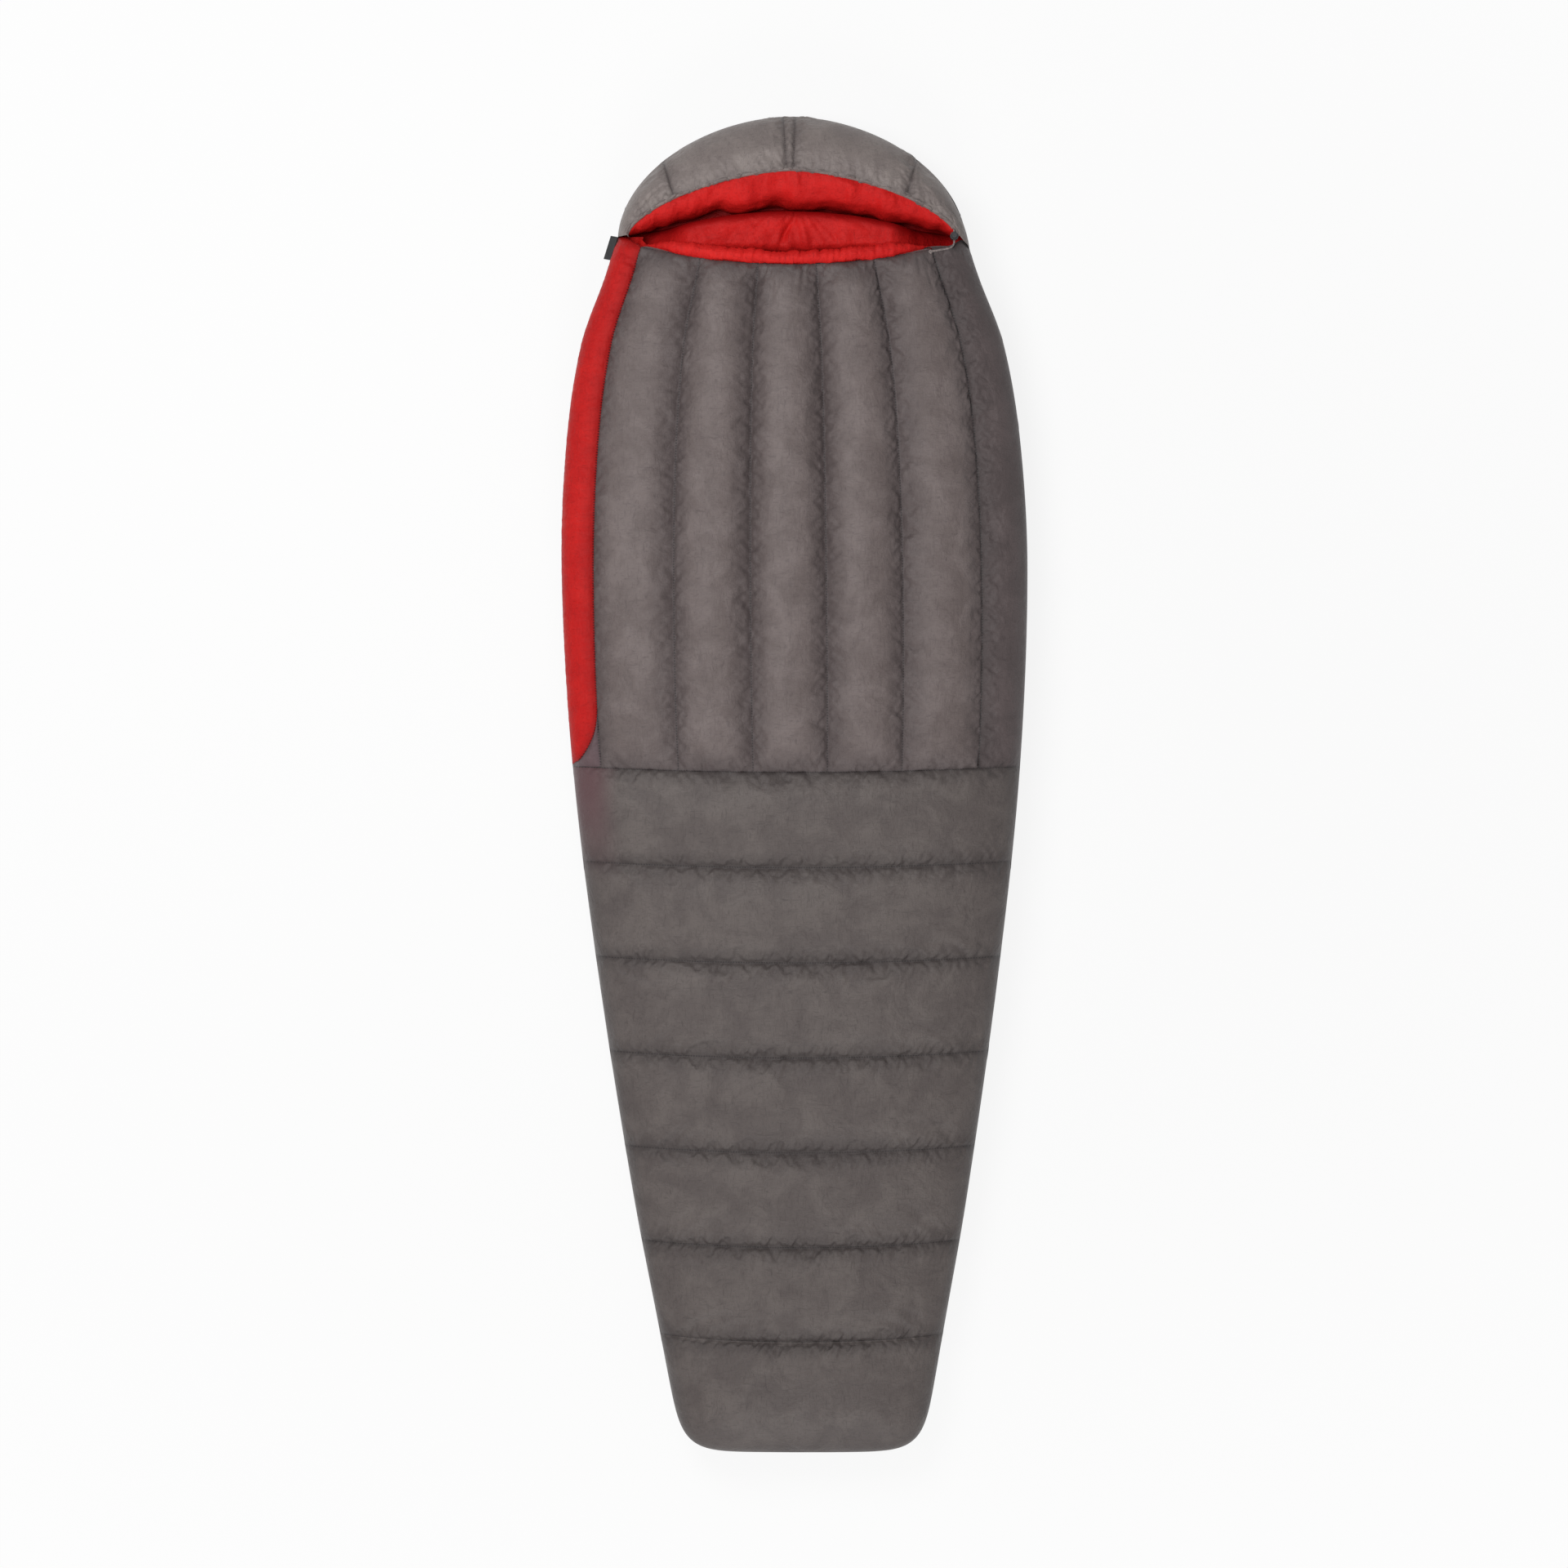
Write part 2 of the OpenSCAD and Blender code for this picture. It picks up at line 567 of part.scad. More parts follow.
// Zip tapes and coils along the zip's circle, in a frame of outward reach and height
module zip_arc(from_y, to_y) {
    turn = zip_angle(from_y);
    translate([zip_centre.x, zip_centre.y, chest_mid])
        rotate([0, 0, turn])
            rotate_extrude(angle = zip_angle(to_y) - turn, $fn = 180)
                translate([zip_radius, 0])
                    children();
}
module at_zip(y) {
    translate([zip_centre.x, zip_centre.y, chest_mid])
        rotate([0, 0, zip_angle(y)])
            translate([zip_radius, 0, 0])
                children();
}
coil_out = coil_radius;
coil_high = coil_radius + 0.3;
upper_head_y = slider_y + slider_half / 2;
module zip_tape_upper() {
    zip_black() zip_arc(upper_head_y, zip_foot_y)
        translate([-0.5 - tape_cloth, 0.6]) square([tape_cloth, tape_reach - 0.6]);
}
module zip_tape_lower() {
    zip_black() zip_arc(zip_head_y - 6, zip_foot_y)
        translate([-0.5 - tape_cloth, -tape_reach]) square([tape_cloth, tape_reach - 0.6]);
}
module zip_coil_upper() {
    zip_black() zip_arc(upper_head_y, zip_foot_y) translate([coil_out, coil_high]) circle(coil_radius);
}
module zip_coil_lower() {
    zip_black() zip_arc(zip_head_y - 6, zip_foot_y) translate([coil_out, -coil_high]) circle(coil_radius);
}
module zip_bottom_stop() {
    zip_black() at_zip(zip_foot_y) translate([-1.5, 0.4, -4]) cube([5, 5, 8]);
}

// Zip slider, whose outward lug carries the pull's pin
plate_out = 2 * coil_radius + 1.2;
pin_out = plate_out + 4.2;
pin_along = -2;
pin_radius = 0.9;
module zip_slider() {
    zip_black() at_zip(slider_y) union() {
        translate([plate_out, -slider_half, -5]) cube([1.5, 2 * slider_half, 10]);
        translate([-3.4, -slider_half, -5]) cube([1.3, 2 * slider_half, 10]);
        translate([-3.4, -slider_half, 0.1]) cube([plate_out + 4, 3, 4.8]);
        for (low = [-4.2, 2.6])
            translate([plate_out, pin_along - 3, low]) cube([pin_out - plate_out + 2.4, 6, 1.6]);
        translate([pin_out, pin_along, -4]) cylinder(r = pin_radius, h = 8);
    }
}
module zip_pull() {
    zip_black() at_zip(slider_y) difference() {
        union() {
            translate([pin_out, pin_along, -2.3]) cylinder(r = 2.4, h = 4.6);
            translate([pin_out - 1.2, pin_along, -2.3]) cube([2.4, pull_length, 4.6]);
            translate([pin_out - 1.2, pin_along + pull_length / 2, -3.5]) cube([2.4, pull_length / 2, 7]);
        }
        translate([pin_out, pin_along, -5]) cylinder(r = pin_radius + 0.3, h = 10);
    }
}

// Guard tab sewn to the front of the hood's left end, leaning out over the zip's head
tab_height = 20;
tab_cloth = 1.4;
tab_tilt = 36;
tab_top = chest_mid + zip_slot / 2 - 1;
tab_end = plan(-1, hood_y) + [-0.15, 0.3];
tab_way = plan(-1, hood_y) - plan(-1, hood_y - tab_length);
module zip_guard_tab() {
    zip_black() translate([tab_end.x, tab_end.y, tab_top])
        rotate([0, 0, -atan2(tab_way.x, tab_way.y)])
            rotate([0, tab_tilt, 0])
                translate([0, -tab_length, -tab_height])
                    cube([tab_cloth, tab_length, tab_height]);
}

// Crown chambers round the hood, their lining and the pads under the head
crown_b = [1, 0.85, 0.6, 0.35, 0.15, 0];
module crown_chamber(k, qs, swells) {
    angles = [for (q = qs) mix(crown_seams[k] + crown_gap, crown_seams[k + 1] - crown_gap, q)];
    slab(
        [for (b = crown_b) [for (i = [0 : len(qs) - 1])
            crown(angles[i], b, crown_draw * (1 - swells[i] * end_pillow((1 - b) * 0.8)))]],
        [for (b = crown_b) [for (a = angles) crown(a, b, crown_pad)]]
    );
}
crown_q = [0, 0.12, 0.35, 0.65, 0.88, 1];
strip_q = [0, 0.5, 1];
module hood_crown_left_end()
    shell_grey() crown_chamber(0, crown_q, [for (q = crown_q) pillow(0.5 + q / 2)]);
module hood_crown_left() shell_grey() crown_chamber(1, crown_q, [for (q = crown_q) pillow(q)]);
module hood_crown_strip() shell_grey() crown_chamber(2, strip_q, [for (q = strip_q) pillow(q)]);
module hood_crown_right() shell_grey() crown_chamber(3, crown_q, [for (q = crown_q) pillow(q)]);
module hood_crown_right_end()
    shell_grey() crown_chamber(4, crown_q, [for (q = crown_q) pillow(q / 2)]);
module hood_crown_lining() {
    angles = [for (k = [0 : len(crown_seams) - 2], q = k == 2 ? strip_q : crown_q)
        let (a = mix(crown_seams[k] + crown_gap, crown_seams[k + 1] - crown_gap, q))
        if (a > 4 && a < 176 && q < 1) a];
    lining_red() slab(
        [for (b = crown_b) [for (a = angles) crown(a, b, crown_pad + lining_gap)]],
        [for (b = crown_b) [for (a = angles) crown(a, b, crown_pad + lining_gap + lining_cloth)]]
    );
}
nape_grid = row_grid(row_u, [0, 0.15, 0.5, 0.85, 1], nape_y, crease_y);
module head_pad_lower() {
    shell_grey() back_chamber(nape_grid, [for (row = nape_grid) [for (p = row) 0]], head_pad);
}
module head_pad_upper() {
    shell_grey() back_chamber(head_grid, [for (row = head_grid) [for (p = row) 0]], head_pad);
}
module head_lining() {
    lining_red() {
        back_lining_sheet(nape_grid, head_pad);
        back_lining_sheet(head_grid, head_pad);
    }
}

// Hem round the face opening, the drawcord in it and the cord lock on the cord's free end
module hood_hem() {
    shell_grey() hollow_tube(hem_route, hem_radius, cord_radius + 1);
}
module hood_drawcord() {
    route = concat(
        hem_route,
        [lock_at + [0, lock_radius + 1, 0], lock_at, lock_at + [0, -lock_radius - 0.5, 0]]
    );
    mesh_white() cord_tube(route, [for (p = route) cord_radius]);
}
module drawcord_tail() {
    mesh_white() cord_tube(tail_route,
        [for (k = [1 : len(tail_route)]) k == len(tail_route) ? 1.5 * cord_radius : cord_radius]);
}
module cord_lock_body() {
    zip_black() translate(lock_at) difference() {
        translate([0, 0, -lock_low]) cylinder(r = lock_radius, h = lock_height);
        translate([0, 0, 2 - lock_low]) cylinder(r = lock_bore, h = lock_height);
        rotate([90, 0, 0]) cylinder(r = cord_radius + 0.8, h = 4 * lock_radius, center = true);
    }
}
module cord_lock_plunger() {
    reach = cord_radius + 0.6;
    zip_black() translate(lock_at) difference() {
        translate([0, 0, -3.4]) cylinder(r = plunger_radius, h = 14);
        rotate([90, 0, 0]) cylinder(r = reach, h = 4 * lock_radius, center = true);
        translate([0, 0, plunger_travel]) rotate([90, 0, 0])
            cylinder(r = reach, h = 4 * lock_radius, center = true);
        translate([-reach, -2 * lock_radius, 0]) cube([2 * reach, 4 * lock_radius, plunger_travel]);
    }
}
spring_turns = 2;
spring_wire = 0.35;
spring_radius = 3;
module cord_lock_spring() {
    steps = 16 * spring_turns;
    low = 2 - lock_low + spring_wire + 0.1;
    high = -3.4 - spring_wire - 0.1;
    route = [for (k = [0 : steps])
        lock_at + [spring_radius * cos(360 * k / 16), spring_radius * sin(360 * k / 16), mix(low, high, k / steps)]];
    mesh_white() cord_tube(route, [for (p = route) spring_wire], 6);
}

zip_side_panel();
chest_tube_upper(1);  // chest_tube_1_upper
chest_tube_upper(2);  // chest_tube_2_upper
chest_tube_upper(3);  // chest_tube_3_upper
chest_tube_upper(4);  // chest_tube_4_upper
chest_tube_upper(5);  // chest_tube_5_upper
chest_baffles_upper();
chest_lining_upper();
neck_draught_tube();
zip_draught_tube();
zip_tape_upper();
zip_coil_upper();
chest_tube_lower(1);  // chest_tube_1_lower
chest_tube_lower(2);  // chest_tube_2_lower
chest_tube_lower(3);  // chest_tube_3_lower
chest_tube_lower(4);  // chest_tube_4_lower
chest_tube_lower(5);  // chest_tube_5_lower
right_side_panel();
zip_end_gusset();
chest_baffles_lower();
chest_lining_lower();
leg_row(1);  // leg_row_1
leg_row(2);  // leg_row_2
leg_row(3);  // leg_row_3
leg_row(4);  // leg_row_4
leg_row(5);  // leg_row_5
leg_row(6);  // leg_row_6
foot_row();
leg_baffles();
leg_lining();
foot_lining();
back_torso_rows();
back_leg_rows();
back_baffles();
back_lining();
hood_crown_left_end();
hood_crown_left();
hood_crown_strip();
hood_crown_right();
hood_crown_right_end();
hood_crown_lining();
head_pad_lower();
head_pad_upper();
head_lining();
hood_hem();
hood_drawcord();
drawcord_tail();
cord_lock_body();
cord_lock_plunger();
cord_lock_spring();
zip_tape_lower();
zip_coil_lower();
zip_bottom_stop();
zip_slider();
zip_pull();
zip_guard_tab();
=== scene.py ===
"""Dressed scene of a mummy sleeping bag lying zipped up.

Shapes are worked out in millimetres. Meshes, materials, bevels, the camera and the lights are in metres.
"""
import json
from math import pi, radians

import bpy
import numpy as np
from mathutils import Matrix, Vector, noise
from mathutils.bvhtree import BVHTree


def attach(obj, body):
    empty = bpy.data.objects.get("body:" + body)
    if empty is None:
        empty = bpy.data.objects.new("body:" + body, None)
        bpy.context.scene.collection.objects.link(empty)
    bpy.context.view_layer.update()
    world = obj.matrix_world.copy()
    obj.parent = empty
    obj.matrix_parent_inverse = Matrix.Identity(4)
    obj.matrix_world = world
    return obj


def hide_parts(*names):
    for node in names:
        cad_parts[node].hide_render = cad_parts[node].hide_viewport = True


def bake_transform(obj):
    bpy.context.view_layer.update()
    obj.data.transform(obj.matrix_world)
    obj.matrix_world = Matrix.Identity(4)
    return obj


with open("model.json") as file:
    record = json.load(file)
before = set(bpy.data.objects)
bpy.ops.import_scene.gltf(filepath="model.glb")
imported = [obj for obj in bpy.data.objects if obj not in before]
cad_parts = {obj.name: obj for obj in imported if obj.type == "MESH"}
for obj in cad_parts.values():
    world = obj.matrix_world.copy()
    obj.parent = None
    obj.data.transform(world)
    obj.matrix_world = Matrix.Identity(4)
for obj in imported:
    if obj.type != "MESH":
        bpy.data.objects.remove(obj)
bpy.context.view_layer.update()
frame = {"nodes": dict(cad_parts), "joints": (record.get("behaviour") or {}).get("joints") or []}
scene = bpy.context.scene

# Sizes shared with the part's source
MM = 0.001
HALF_LENGTH = 1050.0
HALF_WIDTH = 365.5
CHEST_LOFT = 166.0
FOOT_LOFT = 132.0
TOP_PAD = 32.0
BACK_PAD = 20.0
HEAD_PAD = 40.0
SIDE_PAD = BACK_PAD + 8.0
CROWN_PAD = 22.0
TOP_DRAW = 18.0
BACK_DRAW = 6.0
LINING_GAP = 1.6
RIM_HEIGHT = 134.0
RIM_END_HEIGHT = 112.0
ZIP_SLOT = 16.0
TUBES = 5
LEG_ROWS = 6
TORSO_ROWS = 6
PANEL_U = -0.9
SIDE_U = 0.84
DRIFT = -0.009
TOP_ROUND = 2.6
BACK_ROUND = 4.0
FLOOR_PRESS = 1.06
# The outline's half width along the bag, both as shares of the overall size
OUTLINE = np.array([
    [-0.827, 0.606], [-0.610, 0.720], [-0.269, 0.865], [0.025, 0.960], [0.317, 1.000],
    [0.512, 0.974], [0.658, 0.906], [0.756, 0.804], [0.817, 0.747],
])
FOOT_Y = OUTLINE[0, 0] * HALF_LENGTH
HOOD_Y = OUTLINE[-1, 0] * HALF_LENGTH
FOOT_REACH = HALF_LENGTH + FOOT_Y
HOOD_REACH = HALF_LENGTH - HOOD_Y
FOOT_CORNER = 7.0
HOOD_CORNER = 1.85
RIM_CORNER = 1.6
RIM_REACH_SHARE = 0.55
RIM_WIDTH_SHARE = 0.96
WIDEST_Y = 0.317 * HALF_LENGTH
HIP_Y = 0.022 * HALF_LENGTH
NECK_Y = 0.773 * HALF_LENGTH
NECK_RISE = 0.032 * HALF_LENGTH
NAPE_Y = 0.795 * HALF_LENGTH
CREASE_Y = 0.856 * HALF_LENGTH
ZIP_END_Y = 0.046 * HALF_LENGTH
ZIP_FOOT_Y = ZIP_END_Y + 8
ZIP_HEAD_Y = 0.798 * HALF_LENGTH
SLIDER_Y = 0.767 * HALF_LENGTH
LEG_PITCH = (HIP_Y - FOOT_Y) / LEG_ROWS
TORSO_PITCH = (NAPE_Y - HIP_Y) / TORSO_ROWS
CHEST_MID = 0.47 * CHEST_LOFT
FOOT_MID = 0.47 * FOOT_LOFT
HOOD_MID_DROP = 20.0
CROWN_SEAMS = np.radians([41.0, 86.8, 92.0, 138.0])


# Small helpers
def ease(t):
    k = np.clip(t, 0.0, 1.0)
    return k * k * (3 - 2 * k)


def mix(a, b, t):
    return a + (b - a) * t


def signed_power(a, e):
    return np.sign(a) * np.abs(a) ** e


def least(*parts):
    return np.minimum.reduce(parts)


def stacked(*parts):
    """Points from their coordinates."""
    return np.stack(np.broadcast_arrays(*parts), axis=-1)


def raised(p, z):
    """Plan points lifted to their heights."""
    return np.concatenate([p, z[..., None]], axis=-1)


def summed(steps):
    return np.concatenate([[0.0], np.cumsum(steps)])


def run_along(points):
    """Length along a route at each of its points."""
    return summed(np.linalg.norm(np.diff(points, axis=0), axis=1))


def even(curve, count, low=0.0, high=1.0):
    """Parameters from low to high that space the points of a curve evenly."""
    t = np.linspace(low, high, 800)
    run = run_along(curve(t))
    return np.interp(np.linspace(0, run[-1], count), run, t)


# Outline of the bag from above
def side_share(f):
    xs, ys = OUTLINE.T
    slopes = np.gradient(ys, xs)
    slopes[1:-1] = (ys[2:] - ys[:-2]) / (xs[2:] - xs[:-2])
    i = np.clip(np.searchsorted(xs, f) - 1, 0, len(xs) - 2)
    w = xs[i + 1] - xs[i]
    t = np.clip((f - xs[i]) / w, 0, 1)
    curve = (
        (2 * t**3 - 3 * t**2 + 1) * ys[i]
        + (t**3 - 2 * t**2 + t) * w * slopes[i]
        + (3 * t**2 - 2 * t**3) * ys[i + 1]
        + (t**3 - t**2) * w * slopes[i + 1]
    )
    return np.where(f < xs[0], ys[0] + slopes[0] * (f - xs[0]), curve)


def beyond(y):
    """Share of the way from the straight sides to the foot's or the hood's end."""
    foot = np.maximum(0, (FOOT_Y - y) / FOOT_REACH)
    hood = np.maximum(0, (y - HOOD_Y) / HOOD_REACH)
    return np.minimum(1, np.where(y < FOOT_Y, foot, hood))


def corner(y):
    return np.where(y < FOOT_Y, FOOT_CORNER, HOOD_CORNER)


def straight_half(y):
    return HALF_WIDTH * side_share(y / HALF_LENGTH)


def half_at(y):
    return straight_half(y) * np.maximum(0, 1 - beyond(y) ** corner(y)) ** (1 / corner(y))


def middle(y):
    return DRIFT * (y - WIDEST_Y)


def plan(u, y):
    """Plan points by their share of the half width and their place along the bag."""
    return stacked(middle(y) + half_at(y) * u, y)


def spread(p):
    """How far a plan point is from the bag's middle line, 1 on the outline."""
    k = np.abs(p[..., 0] - middle(p[..., 1])) / straight_half(p[..., 1])
    s, e = beyond(p[..., 1]), corner(p[..., 1])
    return np.minimum(1, np.where(s > 0, (k**e + s**e) ** (1 / e), k))


def drawn_in(p, d):
    """Plan points moved inwards from the outline by a depth."""
    y = p[..., 1]
    body = (y >= FOOT_Y) & (y <= HOOD_Y)
    base = np.where(y < FOOT_Y, FOOT_Y, HOOD_Y)
    reach = np.where(y < FOOT_Y, FOOT_REACH, HOOD_REACH)
    wide = np.where(body, half_at(y), half_at(base))
    x = middle(y) + (p[..., 0] - middle(y)) * (wide - d) / wide
    return x, np.where(body, y, base + (y - base) * (reach - d) / reach)


# Heights of the bag's surfaces
def body_share(y):
    return ease((y - FOOT_Y) / (0 - FOOT_Y))


def loft_at(y):
    return mix(FOOT_LOFT, CHEST_LOFT, body_share(y))


def mid_at(y):
    drop = HOOD_MID_DROP * ease((y - NAPE_Y) / (CREASE_Y - NAPE_Y))
    return mix(FOOT_MID, CHEST_MID, body_share(y)) - drop


SLOT_FOOT_GAP = 4.0
SLOT_FOOT_RUN = 20.0
SLOT_HEAD_RUN = 12.0


def slot_at(p):
    """Half the slot that the zip lies in, on the bag's left side only."""
    y = p[..., 1]
    opened = ease((y - HIP_Y - SLOT_FOOT_GAP) / SLOT_FOOT_RUN) * (1 - ease((y - ZIP_HEAD_Y) / SLOT_HEAD_RUN))
    return np.where(p[..., 0] > middle(y), 0.0, ZIP_SLOT / 2 * opened)


def top_share(r):
    return np.maximum(0, 1 - r**TOP_ROUND) ** (1 / TOP_ROUND)


def back_share(r):
    return np.maximum(0, 1 - r**BACK_ROUND) ** (1 / BACK_ROUND)


def over(p, d):
    """Points of the top at a depth below its crowns."""
    x, y = drawn_in(p, d)
    m, e = mid_at(p[..., 1]), slot_at(p)
    return stacked(x, y, m + e + (loft_at(p[..., 1]) - m - d - e) * top_share(spread(p)))


def under(p, d):
    """Points of the back at a depth above the floor."""
    x, y = drawn_in(p, d)
    m, e = mid_at(p[..., 1]), slot_at(p)
    return stacked(x, y, np.maximum(d, m - e - (FLOOR_PRESS * m - e - d) * back_share(spread(p))))


def back_depth(p, pad):
    return mix(np.maximum(pad, SIDE_PAD), pad, back_share(spread(p)))


def even_across(surface, y, count, depth=0.0, low=-1.0, high=1.0):
    """Shares of the half width that space the points of a cross section evenly."""
    return even(lambda u: surface(plan(u, y), depth), count, low, high)


def neck_at(u):
    return NECK_Y + NECK_RISE * u**2


# Hood
def hood_arc(a, half, reach, round_):
    y = HOOD_Y + reach * np.sin(a) ** (2 / round_)
    return stacked(middle(y) - half * signed_power(np.cos(a), 2 / round_), y)


def crown_edge(a):
    return hood_arc(a, half_at(HOOD_Y), HOOD_REACH, HOOD_CORNER)


def rim_edge(a):
    return hood_arc(a, RIM_WIDTH_SHARE * half_at(HOOD_Y), RIM_REACH_SHARE * HOOD_REACH, RIM_CORNER)


def rim_z(a):
    return mix(RIM_END_HEIGHT, RIM_HEIGHT, np.sin(a))


def crown_out(a):
    way = crown_edge(a) - rim_edge(a)
    return way / np.linalg.norm(way, axis=-1, keepdims=True)


def crown(a, b, d):
    """Points of the hood's crown by the angle round it, the rise from its edge to its rim and the depth."""
    a, b, d = np.broadcast_arrays(a, b, d)
    c = np.cos(b * pi / 2)[..., None]
    p = mix(crown_edge(a), rim_edge(a), 1 - c) - crown_out(a) * d[..., None] * c
    low = mid_at(p[..., 1])
    return raised(p, low + (rim_z(a) - low - d) * np.sin(b * pi / 2))


def fold_over(obj):
    """Bakes a piece's placement into its mesh."""
    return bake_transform(obj)


# Noise fields
def grain(points, size, seed, depth=2):
    """Smooth noise from about -1 to 1 at each point, for features of a size in millimetres."""
    shift = Vector((seed * 17.3, seed * -9.1, seed * 5.7))
    flat = points.reshape(-1, 3) / size
    values = [noise.fractal(Vector(p) + shift, 1.0, 2.0, depth, noise_basis="PERLIN_ORIGINAL") for p in flat]
    return np.array(values).reshape(points.shape[:-1])


# Meshes
NO_SEAM = 1000.0


def grid_object(name, grid, material, flip=False, seam=NO_SEAM, along=NO_SEAM, tint=0.0):
    """A mesh over a grid of points, with cloth coordinates and values at its points, in metres."""
    m, n = grid.shape[:2]
    index = np.arange(m * n).reshape(m, n)
    quads = stacked(index[:-1, :-1], index[:-1, 1:], index[1:, 1:], index[1:, :-1]).reshape(-1, 4)
    if flip:
        quads = quads[:, ::-1]
    mesh = bpy.data.meshes.new(name)
    mesh.from_pydata((grid.reshape(-1, 3) * MM).tolist(), [], quads.tolist())
    mesh.polygons.foreach_set("use_smooth", np.ones(len(quads), bool))
    uv = cloth_uv(grid).reshape(-1, 2)[quads.ravel()] * MM
    mesh.uv_layers.new(name="cloth").data.foreach_set("uv", uv.astype(np.float32).ravel())
    for key, value in (("seam", seam), ("along", along), ("tint", tint)):
        kept = (np.broadcast_to(value, (m, n)) * MM).astype(np.float32)
        mesh.attributes.new(key, "FLOAT", "POINT").data.foreach_set("value", kept.ravel())
    mesh.materials.append(material)
    obj = bpy.data.objects.new(name, mesh)
    scene.collection.objects.link(obj)
    return obj


def stand_for(obj, slot, *nodes):
    """Puts a piece in the place of its solids."""
    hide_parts(*nodes)
    return obj


def dressed(name, grid, material, slot, *nodes, **values):
    return stand_for(grid_object(name, grid, material, **values), slot, *nodes)


def cloth_uv(grid):
    """Lengths along the cloth from its first row and column."""
    across = np.linalg.norm(np.diff(grid, axis=1), axis=2).mean(axis=0)
    up = np.linalg.norm(np.diff(grid, axis=0), axis=2).mean(axis=1)
    return stacked(*np.meshgrid(summed(across), summed(up)))


def normals(grid):
    made = np.cross(np.gradient(grid, axis=1), np.gradient(grid, axis=0))
    return made / np.maximum(np.linalg.norm(made, axis=-1, keepdims=True), 1e-9)


def double(values, smooth=True):
    """A grid with a point added between each two, on a smooth curve through them or halfway."""
    for axis in (0, 1):
        a = np.swapaxes(values, 0, axis)
        wide = np.concatenate([2 * a[:1] - a[1:2], a, 2 * a[-1:] - a[-2:-1]])
        between = (9 * (a[:-1] + a[1:]) - wide[:-3] - wide[3:]) / 16 if smooth else (a[:-1] + a[1:]) / 2
        denser = np.empty((2 * len(a) - 1, *a.shape[1:]))
        denser[::2] = a
        denser[1::2] = between
        values = np.swapaxes(denser, 0, axis)
    return values


def points_of(obj):
    co = np.empty(len(obj.data.vertices) * 3, np.float32)
    obj.data.vertices.foreach_get("co", co)
    return co.reshape(-1, 3).astype(float)


def tube(route, radii, sides):
    """A grid of rings round a route, each square to it."""
    way = np.gradient(route, axis=0)
    way /= np.linalg.norm(way, axis=1, keepdims=True)
    side = np.cross(way, [0, 0, 1.0])
    side /= np.linalg.norm(side, axis=1, keepdims=True)
    rise = np.cross(side, way)
    a = np.linspace(0, 2 * pi, sides + 1)[None, :, None]
    ring = np.cos(a) * side[:, None] + np.sin(a) * rise[:, None]
    return route[:, None] + ring * np.broadcast_to(radii, len(route))[:, None, None]


# Quilted pieces, with a cloth pass that blows them up between their seams
def gather(away, along, seed, most=2.0, lean=0.6, reach=24.0, pitch=5.0):
    """Depths of the short slanting folds that gathered cloth makes beside a seam."""
    away = np.maximum(away, 0)
    streaks = grain(stacked(along + lean * away, 0.2 * away, 0.0), pitch, seed, 3)
    patches = 0.8 + 0.7 * grain(stacked(along, 0.0, 0.0), 70.0, seed + 50, 1)
    shape = (1 - np.exp(-away / 2.5)) * np.exp(-((away / reach) ** 1.4))
    return most * np.clip(patches, 0.25, 1.5) * shape * np.tanh(1.3 * streaks)


CLOTH_FRAMES = 22
MOST_SPARE = 0.06
SEAM_SPARE = 0.05
CREST_SPARE = 0.003
SPARE_REACH = 26.0
SPARE_STEPS = 10
CLOTH = dict(
    quality=5, mass=0.2, tension_stiffness=25, compression_stiffness=25, shear_stiffness=8,
    bending_stiffness=0.02, tension_damping=15, compression_damping=15, shear_damping=15, air_damping=4,
    vertex_group_mass="pinned", vertex_group_shrink="spare", shrink_min=-MOST_SPARE, shrink_max=0.0,
    use_pressure=True,
)


class Quilt:
    """A padded piece on a grid, with the gathers along its seams and the points that stay pinned.

    Calm is the share of its folds and swelling that is kept at each point.
    """
    waiting = []

    def __init__(self, name, grid, gathers, pinned, material, seed,
                 pressure=2.4, cap=13.0, tint=0.0, calm=1.0, flip=False):
        size = grid.shape[:2]
        self.name = name
        self.grid = grid
        self.gathers = [(np.broadcast_to(away, size), np.broadcast_to(along, size), style)
                        for away, along, style in gathers]
        self.pinned = pinned
        self.material = material
        self.seed = seed
        self.pressure = pressure
        self.cap = cap
        self.tint = np.broadcast_to(tint, size)
        self.calm = np.broadcast_to(calm, size)
        self.flip = flip
        seam = least(*(away for away, *_ in self.gathers))
        self.spare = mix(SEAM_SPARE, CREST_SPARE, ease(seam / SPARE_REACH))
        rough = grain(grid, 11.0, seed) * np.exp(-seam / 22.0) + 0.7 * grain(grid, 48.0, seed + 1)
        self.grid[..., 2] += 1.1 * rough * ~pinned
        if pressure:
            Quilt.waiting.append(self)

    def build(self):
        grid = double(self.grid)
        out = normals(grid) * (-1 if self.flip else 1)
        lift = np.zeros(grid.shape[:2])
        aways, alongs = [], []
        for n, (away, along, style) in enumerate(self.gathers):
            away, along = double(away, False), double(along, False)
            lift += gather(away, along, self.seed + 7 * n, **style)
            aways.append(away)
            alongs.append(along)
        nearest = np.argmin(aways, axis=0)[None]
        seam = np.take_along_axis(np.array(aways), nearest, 0)[0]
        along = np.take_along_axis(np.array(alongs), nearest, 0)[0]
        lift *= double(self.calm * ~(self.pinned & (seam[::2, ::2] > 8)), False)
        return grid_object(self.name, grid + out * lift[..., None], self.material, self.flip,
                           seam, along, double(self.tint, False))


